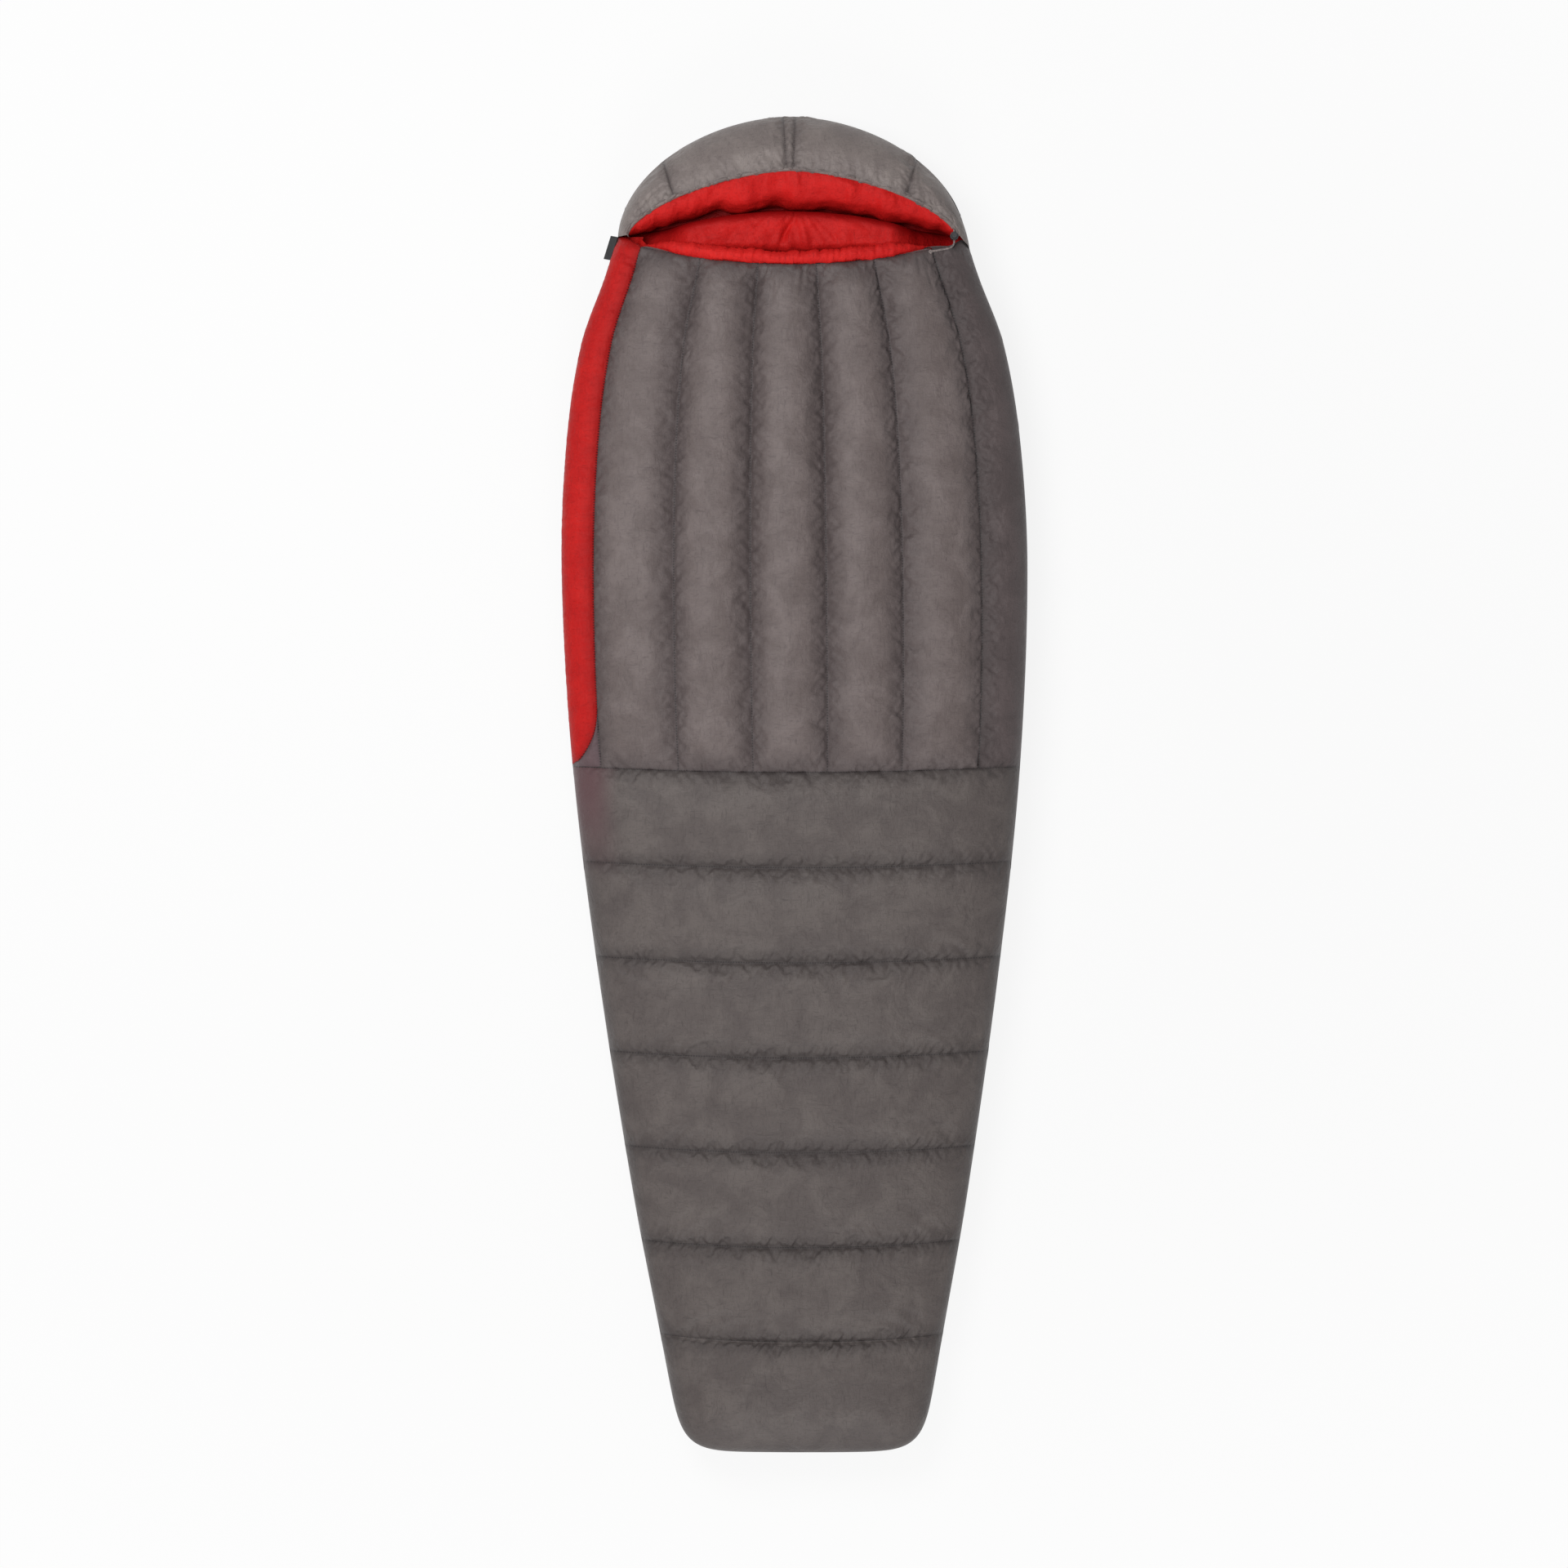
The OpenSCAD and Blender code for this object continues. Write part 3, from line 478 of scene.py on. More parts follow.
def settle():
    """Blows the waiting pieces up between their pinned seams, with spare cloth where it is gathered."""
    objects = []
    for piece in Quilt.waiting:
        obj = grid_object("settling", piece.grid, piece.material, piece.flip)
        objects.append(obj)
        pins = obj.vertex_groups.new(name="pinned")
        pins.add(np.flatnonzero(piece.pinned).tolist(), 1.0, "REPLACE")
        spare = obj.vertex_groups.new(name="spare")
        steps = np.round(SPARE_STEPS * (1 - piece.spare / MOST_SPARE))
        for step in range(1, SPARE_STEPS + 1):
            spare.add(np.flatnonzero(steps == step).tolist(), step / SPARE_STEPS, "REPLACE")
        cloth = obj.modifiers.new("cloth", "CLOTH")
        cloth.point_cache.frame_start = 1
        cloth.point_cache.frame_end = CLOTH_FRAMES
        cloth.collision_settings.use_collision = False
        cloth.collision_settings.use_self_collision = False
        for key, value in CLOTH.items():
            setattr(cloth.settings, key, value)
        cloth.settings.uniform_pressure_force = piece.pressure
        cloth.settings.effector_weights.gravity = 0
    for f in range(1, CLOTH_FRAMES + 1):
        scene.frame_set(f)
    graph = bpy.context.evaluated_depsgraph_get()
    for piece, obj in zip(Quilt.waiting, objects):
        rest = points_of(obj)
        moved = points_of(obj.evaluated_get(graph)) - rest
        length = np.linalg.norm(moved, axis=1, keepdims=True)
        moved *= np.minimum(1, piece.cap * MM / np.maximum(length, 1e-9)) * piece.calm.reshape(-1, 1)
        piece.grid = ((rest + moved) / MM).reshape(piece.grid.shape)
    scene.frame_set(1)
    for obj in objects:
        bpy.data.objects.remove(obj)


# Materials
class Graph:
    """A node tree, with short calls to add and join nodes."""

    def __init__(self, owner):
        owner.use_nodes = True
        self.owner = owner
        self.tree = owner.node_tree

    def feed(self, socket, value):
        """Joins another node's output to a socket, or sets its value."""
        if isinstance(value, bpy.types.NodeSocket):
            self.tree.links.new(value, socket)
        else:
            socket.default_value = value

    def node(self, kind, inputs=None, **settings):
        made = self.tree.nodes.new(kind)
        for key, value in settings.items():
            setattr(made, key, value)
        for key, value in (inputs or {}).items():
            self.feed(made.inputs[key], value)
        return made

    def attribute(self, name):
        return self.node("ShaderNodeAttribute", attribute_name=name).outputs["Fac"]

    def math(self, operation, *values):
        return self.node("ShaderNodeMath", dict(enumerate(values)), operation=operation).outputs[0]

    def ramp(self, value, low, high, to_low=0.0, to_high=1.0, kind="SMOOTHSTEP"):
        ends = {"From Min": low, "From Max": high, "To Min": to_low, "To Max": to_high}
        made = self.node("ShaderNodeMapRange", {"Value": value, **ends}, interpolation_type=kind)
        return made.outputs["Result"]

    def coordinates(self, kind="Object", stretch=(1, 1, 1), turn=0.0):
        source = self.node("ShaderNodeTexCoord").outputs[kind]
        inputs = {"Vector": source, "Scale": stretch, "Rotation": (0, 0, turn)}
        return self.node("ShaderNodeMapping", inputs).outputs["Vector"]

    def noise(self, size, detail=2.0, rough=0.5, warp=0.0, **where):
        inputs = {"Scale": 1 / size, "Detail": detail, "Roughness": rough, "Distortion": warp}
        made = self.node("ShaderNodeTexNoise", {"Vector": self.coordinates(**where), **inputs})
        return made.outputs["Fac"]

    def threads(self, pitch, direction, kind="UV"):
        inputs = {"Vector": self.coordinates(kind), "Scale": 0.314 / pitch, "Distortion": 0.6}
        return self.node("ShaderNodeTexWave", inputs, bands_direction=direction).outputs["Fac"]

    def blend(self, factor, a, b):
        made = self.node("ShaderNodeMix", data_type="RGBA")
        self.feed(made.inputs["Factor"], factor)
        for key, value in (("A", a), ("B", b)):
            self.feed(next(s for s in made.inputs if s.name == key and s.type == "RGBA"), value)
        return next(s for s in made.outputs if s.type == "RGBA")

    def bump(self, height, distance, *normal, strength=1.0):
        made = self.node("ShaderNodeBump", {"Height": height, "Distance": distance, "Strength": strength})
        for under_it in normal:
            self.feed(made.inputs["Normal"], under_it)
        return made.outputs["Normal"]

    def finish(self, colour, normal, roughness, sheen=0.0, specular=0.4, metallic=0.0):
        shader = self.tree.nodes["Principled BSDF"]
        for key, value in (
            ("Base Color", colour), ("Normal", normal), ("Roughness", roughness), ("Metallic", metallic),
            ("Specular IOR Level", specular), ("Sheen Weight", sheen), ("Sheen Roughness", 0.45),
        ):
            self.feed(shader.inputs[key], value)
        return self.owner


def srgb(code):
    """Linear colour of a hex code."""
    parts = [int(code[k:k + 2], 16) / 255 for k in (0, 2, 4)]
    return (*(c / 12.92 if c <= 0.04045 else ((c + 0.055) / 1.055) ** 2.4 for c in parts), 1)


WEAVE_PITCH = 0.0007
STITCH_LENGTH = 0.0042
FIBRE_SIZE = 0.0045
# Purplish tint that the legs take along their left edge
EDGE_TINT = srgb("5c3f43")


def nylon(name, *codes, crinkle=0.5, sheen=0.12, specular=0.35, shade=0.5, shade_reach=0.045, painted_side_shade=0.0):
    """Light nylon over down: blotches where the fill clumps, fine crinkles, stitches along the seams, and
    painted shade beside the seams and on steep faces.
    """
    light, main, deep, thread = (srgb(code) for code in codes)
    graph = Graph(bpy.data.materials.new(name))
    clumps = graph.noise(0.055, detail=4, rough=0.62, warp=0.5)
    fibres = graph.math("MAXIMUM", *(
        graph.noise(FIBRE_SIZE, detail=3, rough=0.65, warp=1.5, stretch=stretch, turn=turn)
        for stretch, turn in (((1, 0.22, 1), 0.6), ((0.22, 1, 1), -0.5))))
    seam = graph.attribute("seam")
    colour = graph.blend(graph.ramp(clumps, 0.34, 0.68), main, light)
    colour = graph.blend(graph.ramp(fibres, 0.48, 0.78, 0.0, 0.45), colour, deep)
    # Painted shade in the valleys beside the seams, then a dark seam line that is partly the doubled cloth at
    # the seam and partly painted shade
    colour = graph.blend(graph.ramp(seam, 0.0, shade_reach, shade, 0.0), colour, deep)
    colour = graph.blend(graph.ramp(seam, 0.0, 0.005, 0.4, 0.0), colour, deep)
    # Painted shade on steep faces: the colour turns deeper where the surface tilts away from level
    facing = graph.node("ShaderNodeNewGeometry").outputs["Normal"]
    rise = graph.math("ABSOLUTE", graph.node("ShaderNodeSeparateXYZ", {"Vector": facing}).outputs["Z"])
    colour = graph.blend(graph.ramp(rise, 0.35, 0.985, painted_side_shade, 0.0), colour, deep)
    colour = graph.blend(graph.attribute("tint"), colour, EDGE_TINT)
    dash = graph.math("SINE", graph.math("MULTIPLY", graph.attribute("along"), 2 * pi / STITCH_LENGTH))
    on_line = graph.ramp(seam, 0.0006, 0.0012, 1.0, 0.0)
    colour = graph.blend(graph.math("MULTIPLY", on_line, graph.ramp(dash, -0.6, -0.1)), colour, thread)
    weave = graph.math("ADD", graph.threads(WEAVE_PITCH, "X"), graph.threads(WEAVE_PITCH, "Y"))
    normal = graph.bump(weave, 0.00006, strength=0.5)
    normal = graph.bump(graph.noise(0.012, detail=5, rough=0.6, warp=0.8), 0.0016 * crinkle, normal)
    normal = graph.bump(fibres, 0.0008, normal, strength=0.8)
    normal = graph.bump(clumps, 0.006, normal, strength=0.7)
    return graph.finish(colour, normal, 0.55, sheen, specular)


def webbing(name, main, deep, pitch=0.0012):
    """Ribbed woven tape."""
    graph = Graph(bpy.data.materials.new(name))
    ribs = graph.math("ADD", graph.threads(pitch, "X", "Object"), graph.threads(pitch * 0.6, "Y", "Object"))
    wear = graph.noise(0.004, detail=4, rough=0.7)
    colour = graph.blend(graph.ramp(wear, 0.4, 0.75), srgb(main), srgb(deep))
    return graph.finish(colour, graph.bump(ribs, 0.0002), 0.8, 0.2, 0.3)


def hard(name, main, deep, roughness, metallic=0.0):
    """Moulded plastic or painted metal with a faint grain and rubbed patches."""
    graph = Graph(bpy.data.materials.new(name))
    wear = graph.noise(0.008, detail=4, rough=0.6)
    skin = graph.noise(0.0003, detail=2)
    colour = graph.blend(graph.ramp(wear, 0.4, 0.7), srgb(main), srgb(deep))
    return graph.finish(colour, graph.bump(skin, 0.00004), roughness, metallic=metallic)


MATT = dict(sheen=0.0, specular=0.15)
GREY = nylon("shell_nylon", "746967", "645957", "382f31", "2c2626")
# Darker copy of the shell nylon for the legs and the back, as painted shade
SHADED_LEG_GREY = nylon("shell_nylon_legs_painted_shade", "645c59", "554d4b", "2e2727", "2a2424",
                 shade=0.45, shade_reach=0.03, painted_side_shade=0.4)
# Lighter copy of the shell nylon for the hood, its hem and the head pads, as painted light
LIT_HOOD_GREY = nylon("shell_nylon_hood_painted_light", "8c827e", "7d7370", "463e3e", "4a4241", shade=0.3, shade_reach=0.02)
# Darker copy of the shell nylon for the plain right panel, as painted shade
SHADED_PLAIN_GREY = nylon("shell_nylon_plain_painted_shade", "594e4e", "4d4343", "332b2b", "2c2727",
                   shade=0.4, shade_reach=0.025, painted_side_shade=0.2)
PURPLE = nylon("shell_nylon_gusset", "6a5558", "604c50", "4a3a3e", "332d2d", shade_reach=0.02)
RED = nylon("panel_nylon", "c9201e", "bc1a1a", "860d0e", "5e0b0c",
            crinkle=0.8, shade=0.4, shade_reach=0.015, **MATT)
LINING = nylon("lining_nylon", "dc2320", "d01d1c", "6e0508", "640c0c",
               crinkle=0.9, shade=0.6, shade_reach=0.026, **MATT)
# Darker copy of the lining nylon for the inside of the hood, as painted shade, with heavy painted shade near
# the crease
SHADED_HOOD_LINING = nylon("lining_nylon_hood_painted_shade", "d62220", "ca1c1b", "860307", "640c0c",
                    crinkle=0.9, shade=0.85, shade_reach=0.026, **MATT)
MESH = webbing("baffle_mesh", "dcdad4", "bdbab2", 0.002)
TAPE = webbing("zip_tape", "17171a", "26262a", 0.0009)
TAB = webbing("tab_webbing", "0d0d10", "1d1d22")
CORD = webbing("drawcord", "8d827f", "d9c6c2", 0.0008)
COIL = hard("zip_coil", "131316", "24242a", 0.35)
METAL = hard("zip_metal", "18181b", "34343a", 0.38, metallic=0.6)
LOCK = hard("lock_plastic", "121215", "26262b", 0.45)
STEEL = hard("spring_steel", "9a9a9a", "b8b8b8", 0.3, metallic=1.0)


# Quilting
STEP = 5.5
CHEST_DRAW = 27.0
LEG_DRAW = 17.0
START_PUFF = 0.86
HIP_BOW = 9.0
BOW_LEVEL = 0.55
BOW_FADE = 160.0
FOOT_FADE = 180.0
HIP_SHARE = 0.68
HIP_RUN = 420.0
HIP_MEET = 30.0
NO_LIMIT = 99.0
TUBE_SHARE = (SIDE_U - PANEL_U) / TUBES
OFF_SEAM = 60.0
FAR = 400.0
ON_SEAM = 0.01
EDGE_U = 0.9999
SEAM_SHIFT = 977.0
FLOOR_LIFT = 0.3


def pillow(q, power=0.62):
    return np.maximum(0, np.sin(pi * q)) ** power


def bulge(distance, reach):
    return np.sqrt(np.clip(distance / reach, 0, 1))


def half_pillow(q):
    return np.sqrt(np.sin(pi / 2 * q))


def seam_depth(u, draw):
    """How far a seam is drawn in, nothing at the bag's edge."""
    return draw * top_share(np.abs(u)) ** 0.8


def chest_seam(u, to_hip):
    """Depth of a chest seam, which meets the hip seam's at its lower end."""
    fuller = mix(HIP_SHARE, 1.0, ease(to_hip / HIP_RUN)) * seam_depth(u, CHEST_DRAW)
    return np.minimum(fuller, mix(seam_depth(u, LEG_DRAW), NO_LIMIT, ease(to_hip / HIP_MEET)))


def bowed(u, y):
    """Cross seams hang a little lower in the middle than at the sides."""
    near = 1 - ease((y - HIP_Y) / BOW_FADE)
    return y + (u**2 - BOW_LEVEL) * HIP_BOW * near * ease((y + HALF_LENGTH) / FOOT_FADE)


def with_turn(values, rows=3, fill=None):
    """Values for the turned-under rows at the end of a grid."""
    last = values[-1:] if fill is None else np.full_like(values[-1:], fill)
    return np.concatenate([values] + [last] * rows)


def neck_turn(us, top):
    """Three rows that turn a neck edge under, down to the lining."""
    ys = top(us) + np.array([[1.5], [1.0], [-1.0]])
    return over(plan(us, ys), TOP_PAD + np.array([[-4.0], [0.0], [2.5]]))


def torso_quilt(name, us, top, turned, side_way, puff, styles, material, seed, shift=0.0, **settings):
    """A quilt from the hip seam to the neck, turned under there."""
    rows = int((NECK_Y - HIP_Y) / STEP)
    hip = bowed(us, HIP_Y)
    yy = mix(hip, top(us), np.linspace(0, 1, rows)[:, None])
    half = half_at(yy)
    to_side, to_hip, to_neck = side_way * half, yy - hip, top(us) - yy
    crown_share = puff[0] * bulge(to_hip, puff[1]) * bulge(to_neck, puff[2])
    depth = chest_seam(us, to_hip) * (1 - START_PUFF * crown_share)
    grid = np.concatenate([over(plan(us, yy), depth), neck_turn(us, turned)])
    runs = [with_turn(yy + shift), with_turn(us * half), with_turn(us * half)]
    aways = [with_turn(to_side, fill=OFF_SEAM), with_turn(to_hip), with_turn(to_neck, fill=OFF_SEAM)]
    pins = with_turn((least(to_side, to_hip, to_neck) < ON_SEAM) | (us > EDGE_U), fill=True)
    calm = with_turn(ease((1 - us) * half / 14))
    return Quilt(name, grid, list(zip(aways, runs, styles)), pins, material, seed, calm=calm, **settings)


# Chest: five lengthwise tubes between the hip seam and the neck
tube_at = np.linspace(0, TUBES, TUBES * 22 + 1)
in_tube = tube_at % 1.0
chest = torso_quilt(
    "chest_quilt", mix(PANEL_U, SIDE_U, tube_at / TUBES), neck_at, neck_at,
    np.minimum(in_tube, 1 - in_tube) * TUBE_SHARE, (pillow(in_tube, 0.75), 46, 40),
    [dict(most=2.3, lean=0.8, reach=24.0), dict(most=2.0, lean=0.5, reach=20.0),
     dict(most=2.2, lean=0.3, reach=26.0)],
    GREY, 1, shift=np.round(tube_at) * SEAM_SHIFT)


# Plain panel down the right side
RIGHT_LIFT = 2.0
RIGHT_DIP = 7.0
RIGHT_TUCK = 13.0
TUCK_START = 0.7


def side_at(u):
    """Share of the way over the plain panel to the bag's edge."""
    return np.clip((u - SIDE_U) / (1 - SIDE_U), 0, 1)


def right_neck(u):
    return neck_at(u) + RIGHT_LIFT - RIGHT_DIP * side_at(u) ** 2


def right_top(u):
    """The plain panel's upper edge, which runs up under the hood's end at the bag's side."""
    return right_neck(u) + RIGHT_TUCK * ease((side_at(u) - TUCK_START) / (1 - TUCK_START))


side_u = even_across(over, 300.0, 24, low=SIDE_U)
right = torso_quilt(
    "right_panel", side_u, right_top, right_neck, side_u - SIDE_U, (half_pillow(side_at(side_u)), 40, 34),
    [dict(most=2.0, lean=0.5, reach=20.0), dict(most=1.8, lean=0.5, reach=16.0),
     dict(most=2.0, lean=0.3, reach=20.0)],
    SHADED_PLAIN_GREY, 3, pressure=1.6)

# Red panel along the zip, turned under at its edge to the tape and on to the lining
RED_TURN_Y = 118.0
RED_TIP_Y = 31.0
RED_RISE = 14.0
FACING_COLUMNS = 8


def border_u(y):
    """Where the red panel ends, curving to the edge at its lower tip."""
    t = np.clip((RED_TURN_Y - y) / (RED_TURN_Y - RED_TIP_Y), 0, 1)
    return PANEL_U - (1 + PANEL_U) * t**2.2


def panel_top(u):
    return neck_at(u) + RED_RISE * np.clip((PANEL_U - u) / (1 + PANEL_U), 0, 1)


def faced(shape, width, drop=0.0):
    """A grid with columns turned under at its left edge."""
    share = np.linspace(1, 0, FACING_COLUMNS + 1)[:-1]
    facing = np.repeat(shape[:, :1], FACING_COLUMNS, axis=1)
    facing[..., 0] += width * share
    facing[..., 2] -= drop * share
    return np.concatenate([facing, shape], axis=1)


def with_facing(values, fill=OFF_SEAM):
    """Values with those of the turned-under columns before them."""
    return np.concatenate([np.full((len(values), FACING_COLUMNS), fill), values], axis=1)


up = np.linspace(0, 1, int((neck_at(-1.0) - RED_TIP_Y) / STEP))[:, None]
edge_u = border_u(mix(RED_TIP_Y, NECK_Y, up))
across = even(lambda t: over(plan(mix(-1.0, PANEL_U, t), 400.0), 0.0), 20)
panel_u = mix(-1.0, edge_u, across)
panel_y = mix(RED_TIP_Y, panel_top(panel_u), up)
to_side = (edge_u - panel_u) * half_at(panel_y)
to_neck = panel_top(panel_u) - panel_y
crown_share = half_pillow(np.clip(to_side / ((1 + PANEL_U) * HALF_WIDTH), 0, 1)) * bulge(to_neck, 30)
depth = chest_seam(panel_u, panel_y - bowed(panel_u, HIP_Y)) * (1 - START_PUFF * crown_share)
grid = faced(over(plan(panel_u, panel_y), depth), TOP_PAD + 8)
gathers = [
    (with_facing(to_side), panel_y[:, :1], dict(most=1.5, lean=0.25, reach=60.0, pitch=6.0)),
    (with_facing(to_neck), grid[..., 0], dict(most=2.0, lean=0.3, reach=22.0)),
]
pins = with_facing((np.minimum(to_side, to_neck) < ON_SEAM) | (panel_u < -EDGE_U), True)
pins[0] = True
panel = Quilt("zip_panel", grid, gathers, pins, RED, 5, pressure=1.6)

# Gusset below the red panel's tip
up = np.linspace(0, 1, 20)[:, None]
gusset_u = mix(border_u(mix(HIP_Y, RED_TURN_Y, up)), PANEL_U, np.linspace(0, 1, 14))
gusset_y = mix(bowed(gusset_u, HIP_Y), RED_TURN_Y, up)
to_hip = gusset_y - bowed(gusset_u, HIP_Y)
to_border = np.maximum((gusset_u - border_u(gusset_y)) * half_at(gusset_y), 0)
to_seam = least(to_border, (PANEL_U - gusset_u) * half_at(gusset_y), to_hip)
depth = chest_seam(gusset_u, to_hip) * (1 - 0.5 * bulge(to_seam, 14))
gathers = [(to_seam, gusset_y, dict(most=1.2, reach=14.0))]
gusset = Quilt("zip_gusset", over(plan(gusset_u, gusset_y), depth), gathers,
               to_seam < ON_SEAM, PURPLE, 6, pressure=0)


# Legs: cross rows, and the last chamber round the foot
def end_point(a, base, reach, way, round_):
    y = base + way * reach * np.sin(a) ** (2 / round_)
    return stacked(middle(y) - straight_half(y) * signed_power(np.cos(a), 2 / round_), y)


def end_plan(us, ts, seam, a0, *end):
    """Plan points from a seam out to the rounded end of the outline."""
    angles = even(lambda a: end_point(a, *end), len(us), a0, pi - a0)
    p = mix(plan(us, seam), end_point(angles, *end), ts[:, None, None])
    for column, side in ((0, -1.0), (-1, 1.0)):
        p[:, column] = plan(side, p[:, column, 1])
    return p


FOOT_END = (radians(5), FOOT_Y, FOOT_REACH, -1, FOOT_CORNER)
HOOD_END = (radians(16), HOOD_Y, HOOD_REACH, 1, HOOD_CORNER)


def end_shares(surface, count, seam, *end):
    """Shares of the way from a seam to the bag's end, evenly spaced over its middle line."""
    three = np.linspace(-1, 1, 3)
    return even(lambda t: surface(end_plan(three, t, seam, *end)[:, 1], 0.0), count)


leg_u = even_across(over, -420.0, 118)
row_at = np.linspace(0, LEG_ROWS, LEG_ROWS * 27 + 1)[::-1, None]
foot_plan = end_plan(leg_u, end_shares(over, 40, FOOT_Y, *FOOT_END), bowed(leg_u, FOOT_Y), *FOOT_END)
row_plan = plan(leg_u, bowed(leg_u, HIP_Y - row_at * LEG_PITCH))
leg_plan = np.concatenate([foot_plan[:0:-1], row_plan])
foot_away = np.linalg.norm(foot_plan - foot_plan[:1], axis=-1)[:0:-1]
in_row = np.broadcast_to(row_at % 1.0, row_plan.shape[:2])
below = np.concatenate([foot_away, in_row * LEG_PITCH])
above = np.concatenate([np.full_like(foot_away, FAR), np.where(in_row == 0, 0.0, (1 - in_row) * LEG_PITCH)])
puff = np.concatenate([bulge(foot_away, 40), pillow(in_row, 0.5)])
depth = seam_depth(spread(leg_plan), LEG_DRAW) * (1 - START_PUFF * puff)
pins = (np.minimum(below, above) < ON_SEAM) | (np.abs(leg_u) > EDGE_U)
pins[0] = True
in_foot = np.arange(len(leg_plan))[:, None] < len(foot_away)
seam_at = np.concatenate([np.full((len(foot_away), 1), LEG_ROWS), np.round(row_at)])
along = leg_plan[..., 0] + SEAM_SHIFT * seam_at
gathers = [
    (np.where(in_foot, FAR, below), along, dict(most=2.6, lean=0.5, reach=26.0)),
    (above, along, dict(most=2.2, lean=-0.5, reach=22.0)),
    (np.where(in_foot, below, FAR), along, dict(most=4.2, lean=0.6, reach=30.0, pitch=9.0)),
]
# Purplish tint along the legs' left edge near the hip, fading out towards the foot
tint = 0.85 / MM * ease((-0.80 - leg_u) / 0.14) * ease((leg_plan[..., 1] + 170) / 170)
legs = Quilt("leg_quilt", over(leg_plan, depth), gathers, pins, SHADED_LEG_GREY, 7, tint=tint,
             calm=ease((1 - np.abs(leg_u)) * half_at(leg_plan[..., 1]) / 16))

# Back: cross rows on the floor, seen along the sides
back_u = even_across(under, 0.0, 84)
seams = np.concatenate([HIP_Y - LEG_PITCH * np.arange(LEG_ROWS, 0, -1),
                        HIP_Y + TORSO_PITCH * np.arange(TORSO_ROWS + 1)])
foot_shares = end_shares(over, 22, FOOT_Y, *FOOT_END)
foot_plan = end_plan(back_u, foot_shares, FOOT_Y, *FOOT_END)
back_plan = np.concatenate([foot_plan[:0:-1], plan(back_u, np.linspace(FOOT_Y, NAPE_Y, 156)[:, None])])
to_seam = np.abs(back_plan[..., 1, None] - seams).min(axis=-1)
shape = under(back_plan, BACK_DRAW * (1 - bulge(to_seam, 45)) * (1 - np.abs(back_u) ** 12))
free = np.clip(shape[..., 2] / 12, 0, 1) * ease((1 - spread(back_plan)) / 0.05)
shape[..., 2] = np.maximum(shape[..., 2] + 1.2 * grain(shape, 30.0, 9) * free, FLOOR_LIFT)
by_zip = slot_at(back_plan[:, :1]) > 1
grid = faced(shape, np.where(by_zip, SIDE_PAD + 2, 5.0), np.where(by_zip, 0.0, 1.0))
gathers = [(with_facing(to_seam), grid[..., 2] * 1.5 + grid[..., 0] * 0.3,
            dict(most=1.6, lean=0.4, reach=18.0))]
back = Quilt("back_quilt", grid, gathers, with_facing(free <= 0.02, True), SHADED_LEG_GREY, 9, pressure=0, flip=True)

# Pads under the head, outside
head_shares = end_shares(under, 34, NAPE_Y, *HOOD_END)
head_plan = end_plan(even_across(under, NAPE_Y, 70), head_shares, NAPE_Y, *HOOD_END)
to_seam = np.minimum(np.abs(head_plan[..., 1] - CREASE_Y), head_plan[..., 1] - NAPE_Y)
shape = under(head_plan, BACK_DRAW * (1 - bulge(to_seam, 30)) * (1 - spread(head_plan) ** 12))
shape[..., 2] = np.maximum(shape[..., 2], FLOOR_LIFT)
pads = Quilt("head_pads", shape, [(to_seam, shape[..., 0], dict(most=1.2, reach=16.0))],
             (spread(head_plan) > 0.99) | (shape[..., 2] < 1), LIT_HOOD_GREY, 10, pressure=0, flip=True)

# Hood crown, from its edge up to its rim and over the hem, with its right end drawn down to the neck
LIP_IN = np.array([2.0, 3.8, 5.2, 6.0, 6.2])
LIP_DOWN = np.array([-0.6, 0.2, 2.6, 6.5, 12.0])
LIP_WIDTH = 9.0
CROWN_DRAW = 8.0
RIM_DRAW = 4.0
END_REACH = 19.0
END_ANGLE = radians(150)
crown_a = even(lambda t: crown(t, 0.7, 0.0), 150, 0.004, pi - 0.004)
for seam_angle in CROWN_SEAMS:
    crown_a[np.argmin(np.abs(crown_a - seam_angle))] = seam_angle
crown_b = even(lambda t: crown(pi / 2, t, 0.0), 26)
angles, rises = np.broadcast_arrays(crown_a, crown_b[:, None])
ring = np.linalg.norm(crown_edge(crown_a) - [0.0, HOOD_Y], axis=1)
to_seam = np.broadcast_to(np.abs(crown_a[:, None] - CROWN_SEAMS).min(axis=1) * ring, angles.shape)
to_rim = np.linalg.norm(crown(angles, rises, 0.0) - crown(angles, 1.0, 0.0), axis=-1)
drawn = CROWN_DRAW * (1 - START_PUFF * bulge(to_seam, 38)) * bulge(to_rim, 10)
drawn += RIM_DRAW * (1 - bulge(to_rim, 26))
shape = crown(angles, rises, drawn * np.sin(rises * pi / 2) ** 0.6)
lip = np.repeat(shape[-1:], len(LIP_IN), axis=0)
lip[..., 2] -= LIP_DOWN[:, None]
lip[..., :2] -= crown_out(crown_a) * LIP_IN[:, None, None]
grid = np.concatenate([shape, lip])
reach_down = END_REACH * ease((crown_a - END_ANGLE) / (pi - END_ANGLE))
reach_down = reach_down * with_turn(np.cos(rises * pi / 2) ** 2, len(LIP_IN), 0.0)
grid[..., 0] += plan(1.0, HOOD_Y - reach_down)[..., 0] - plan(1.0, HOOD_Y)[0]
grid[..., 1] -= reach_down
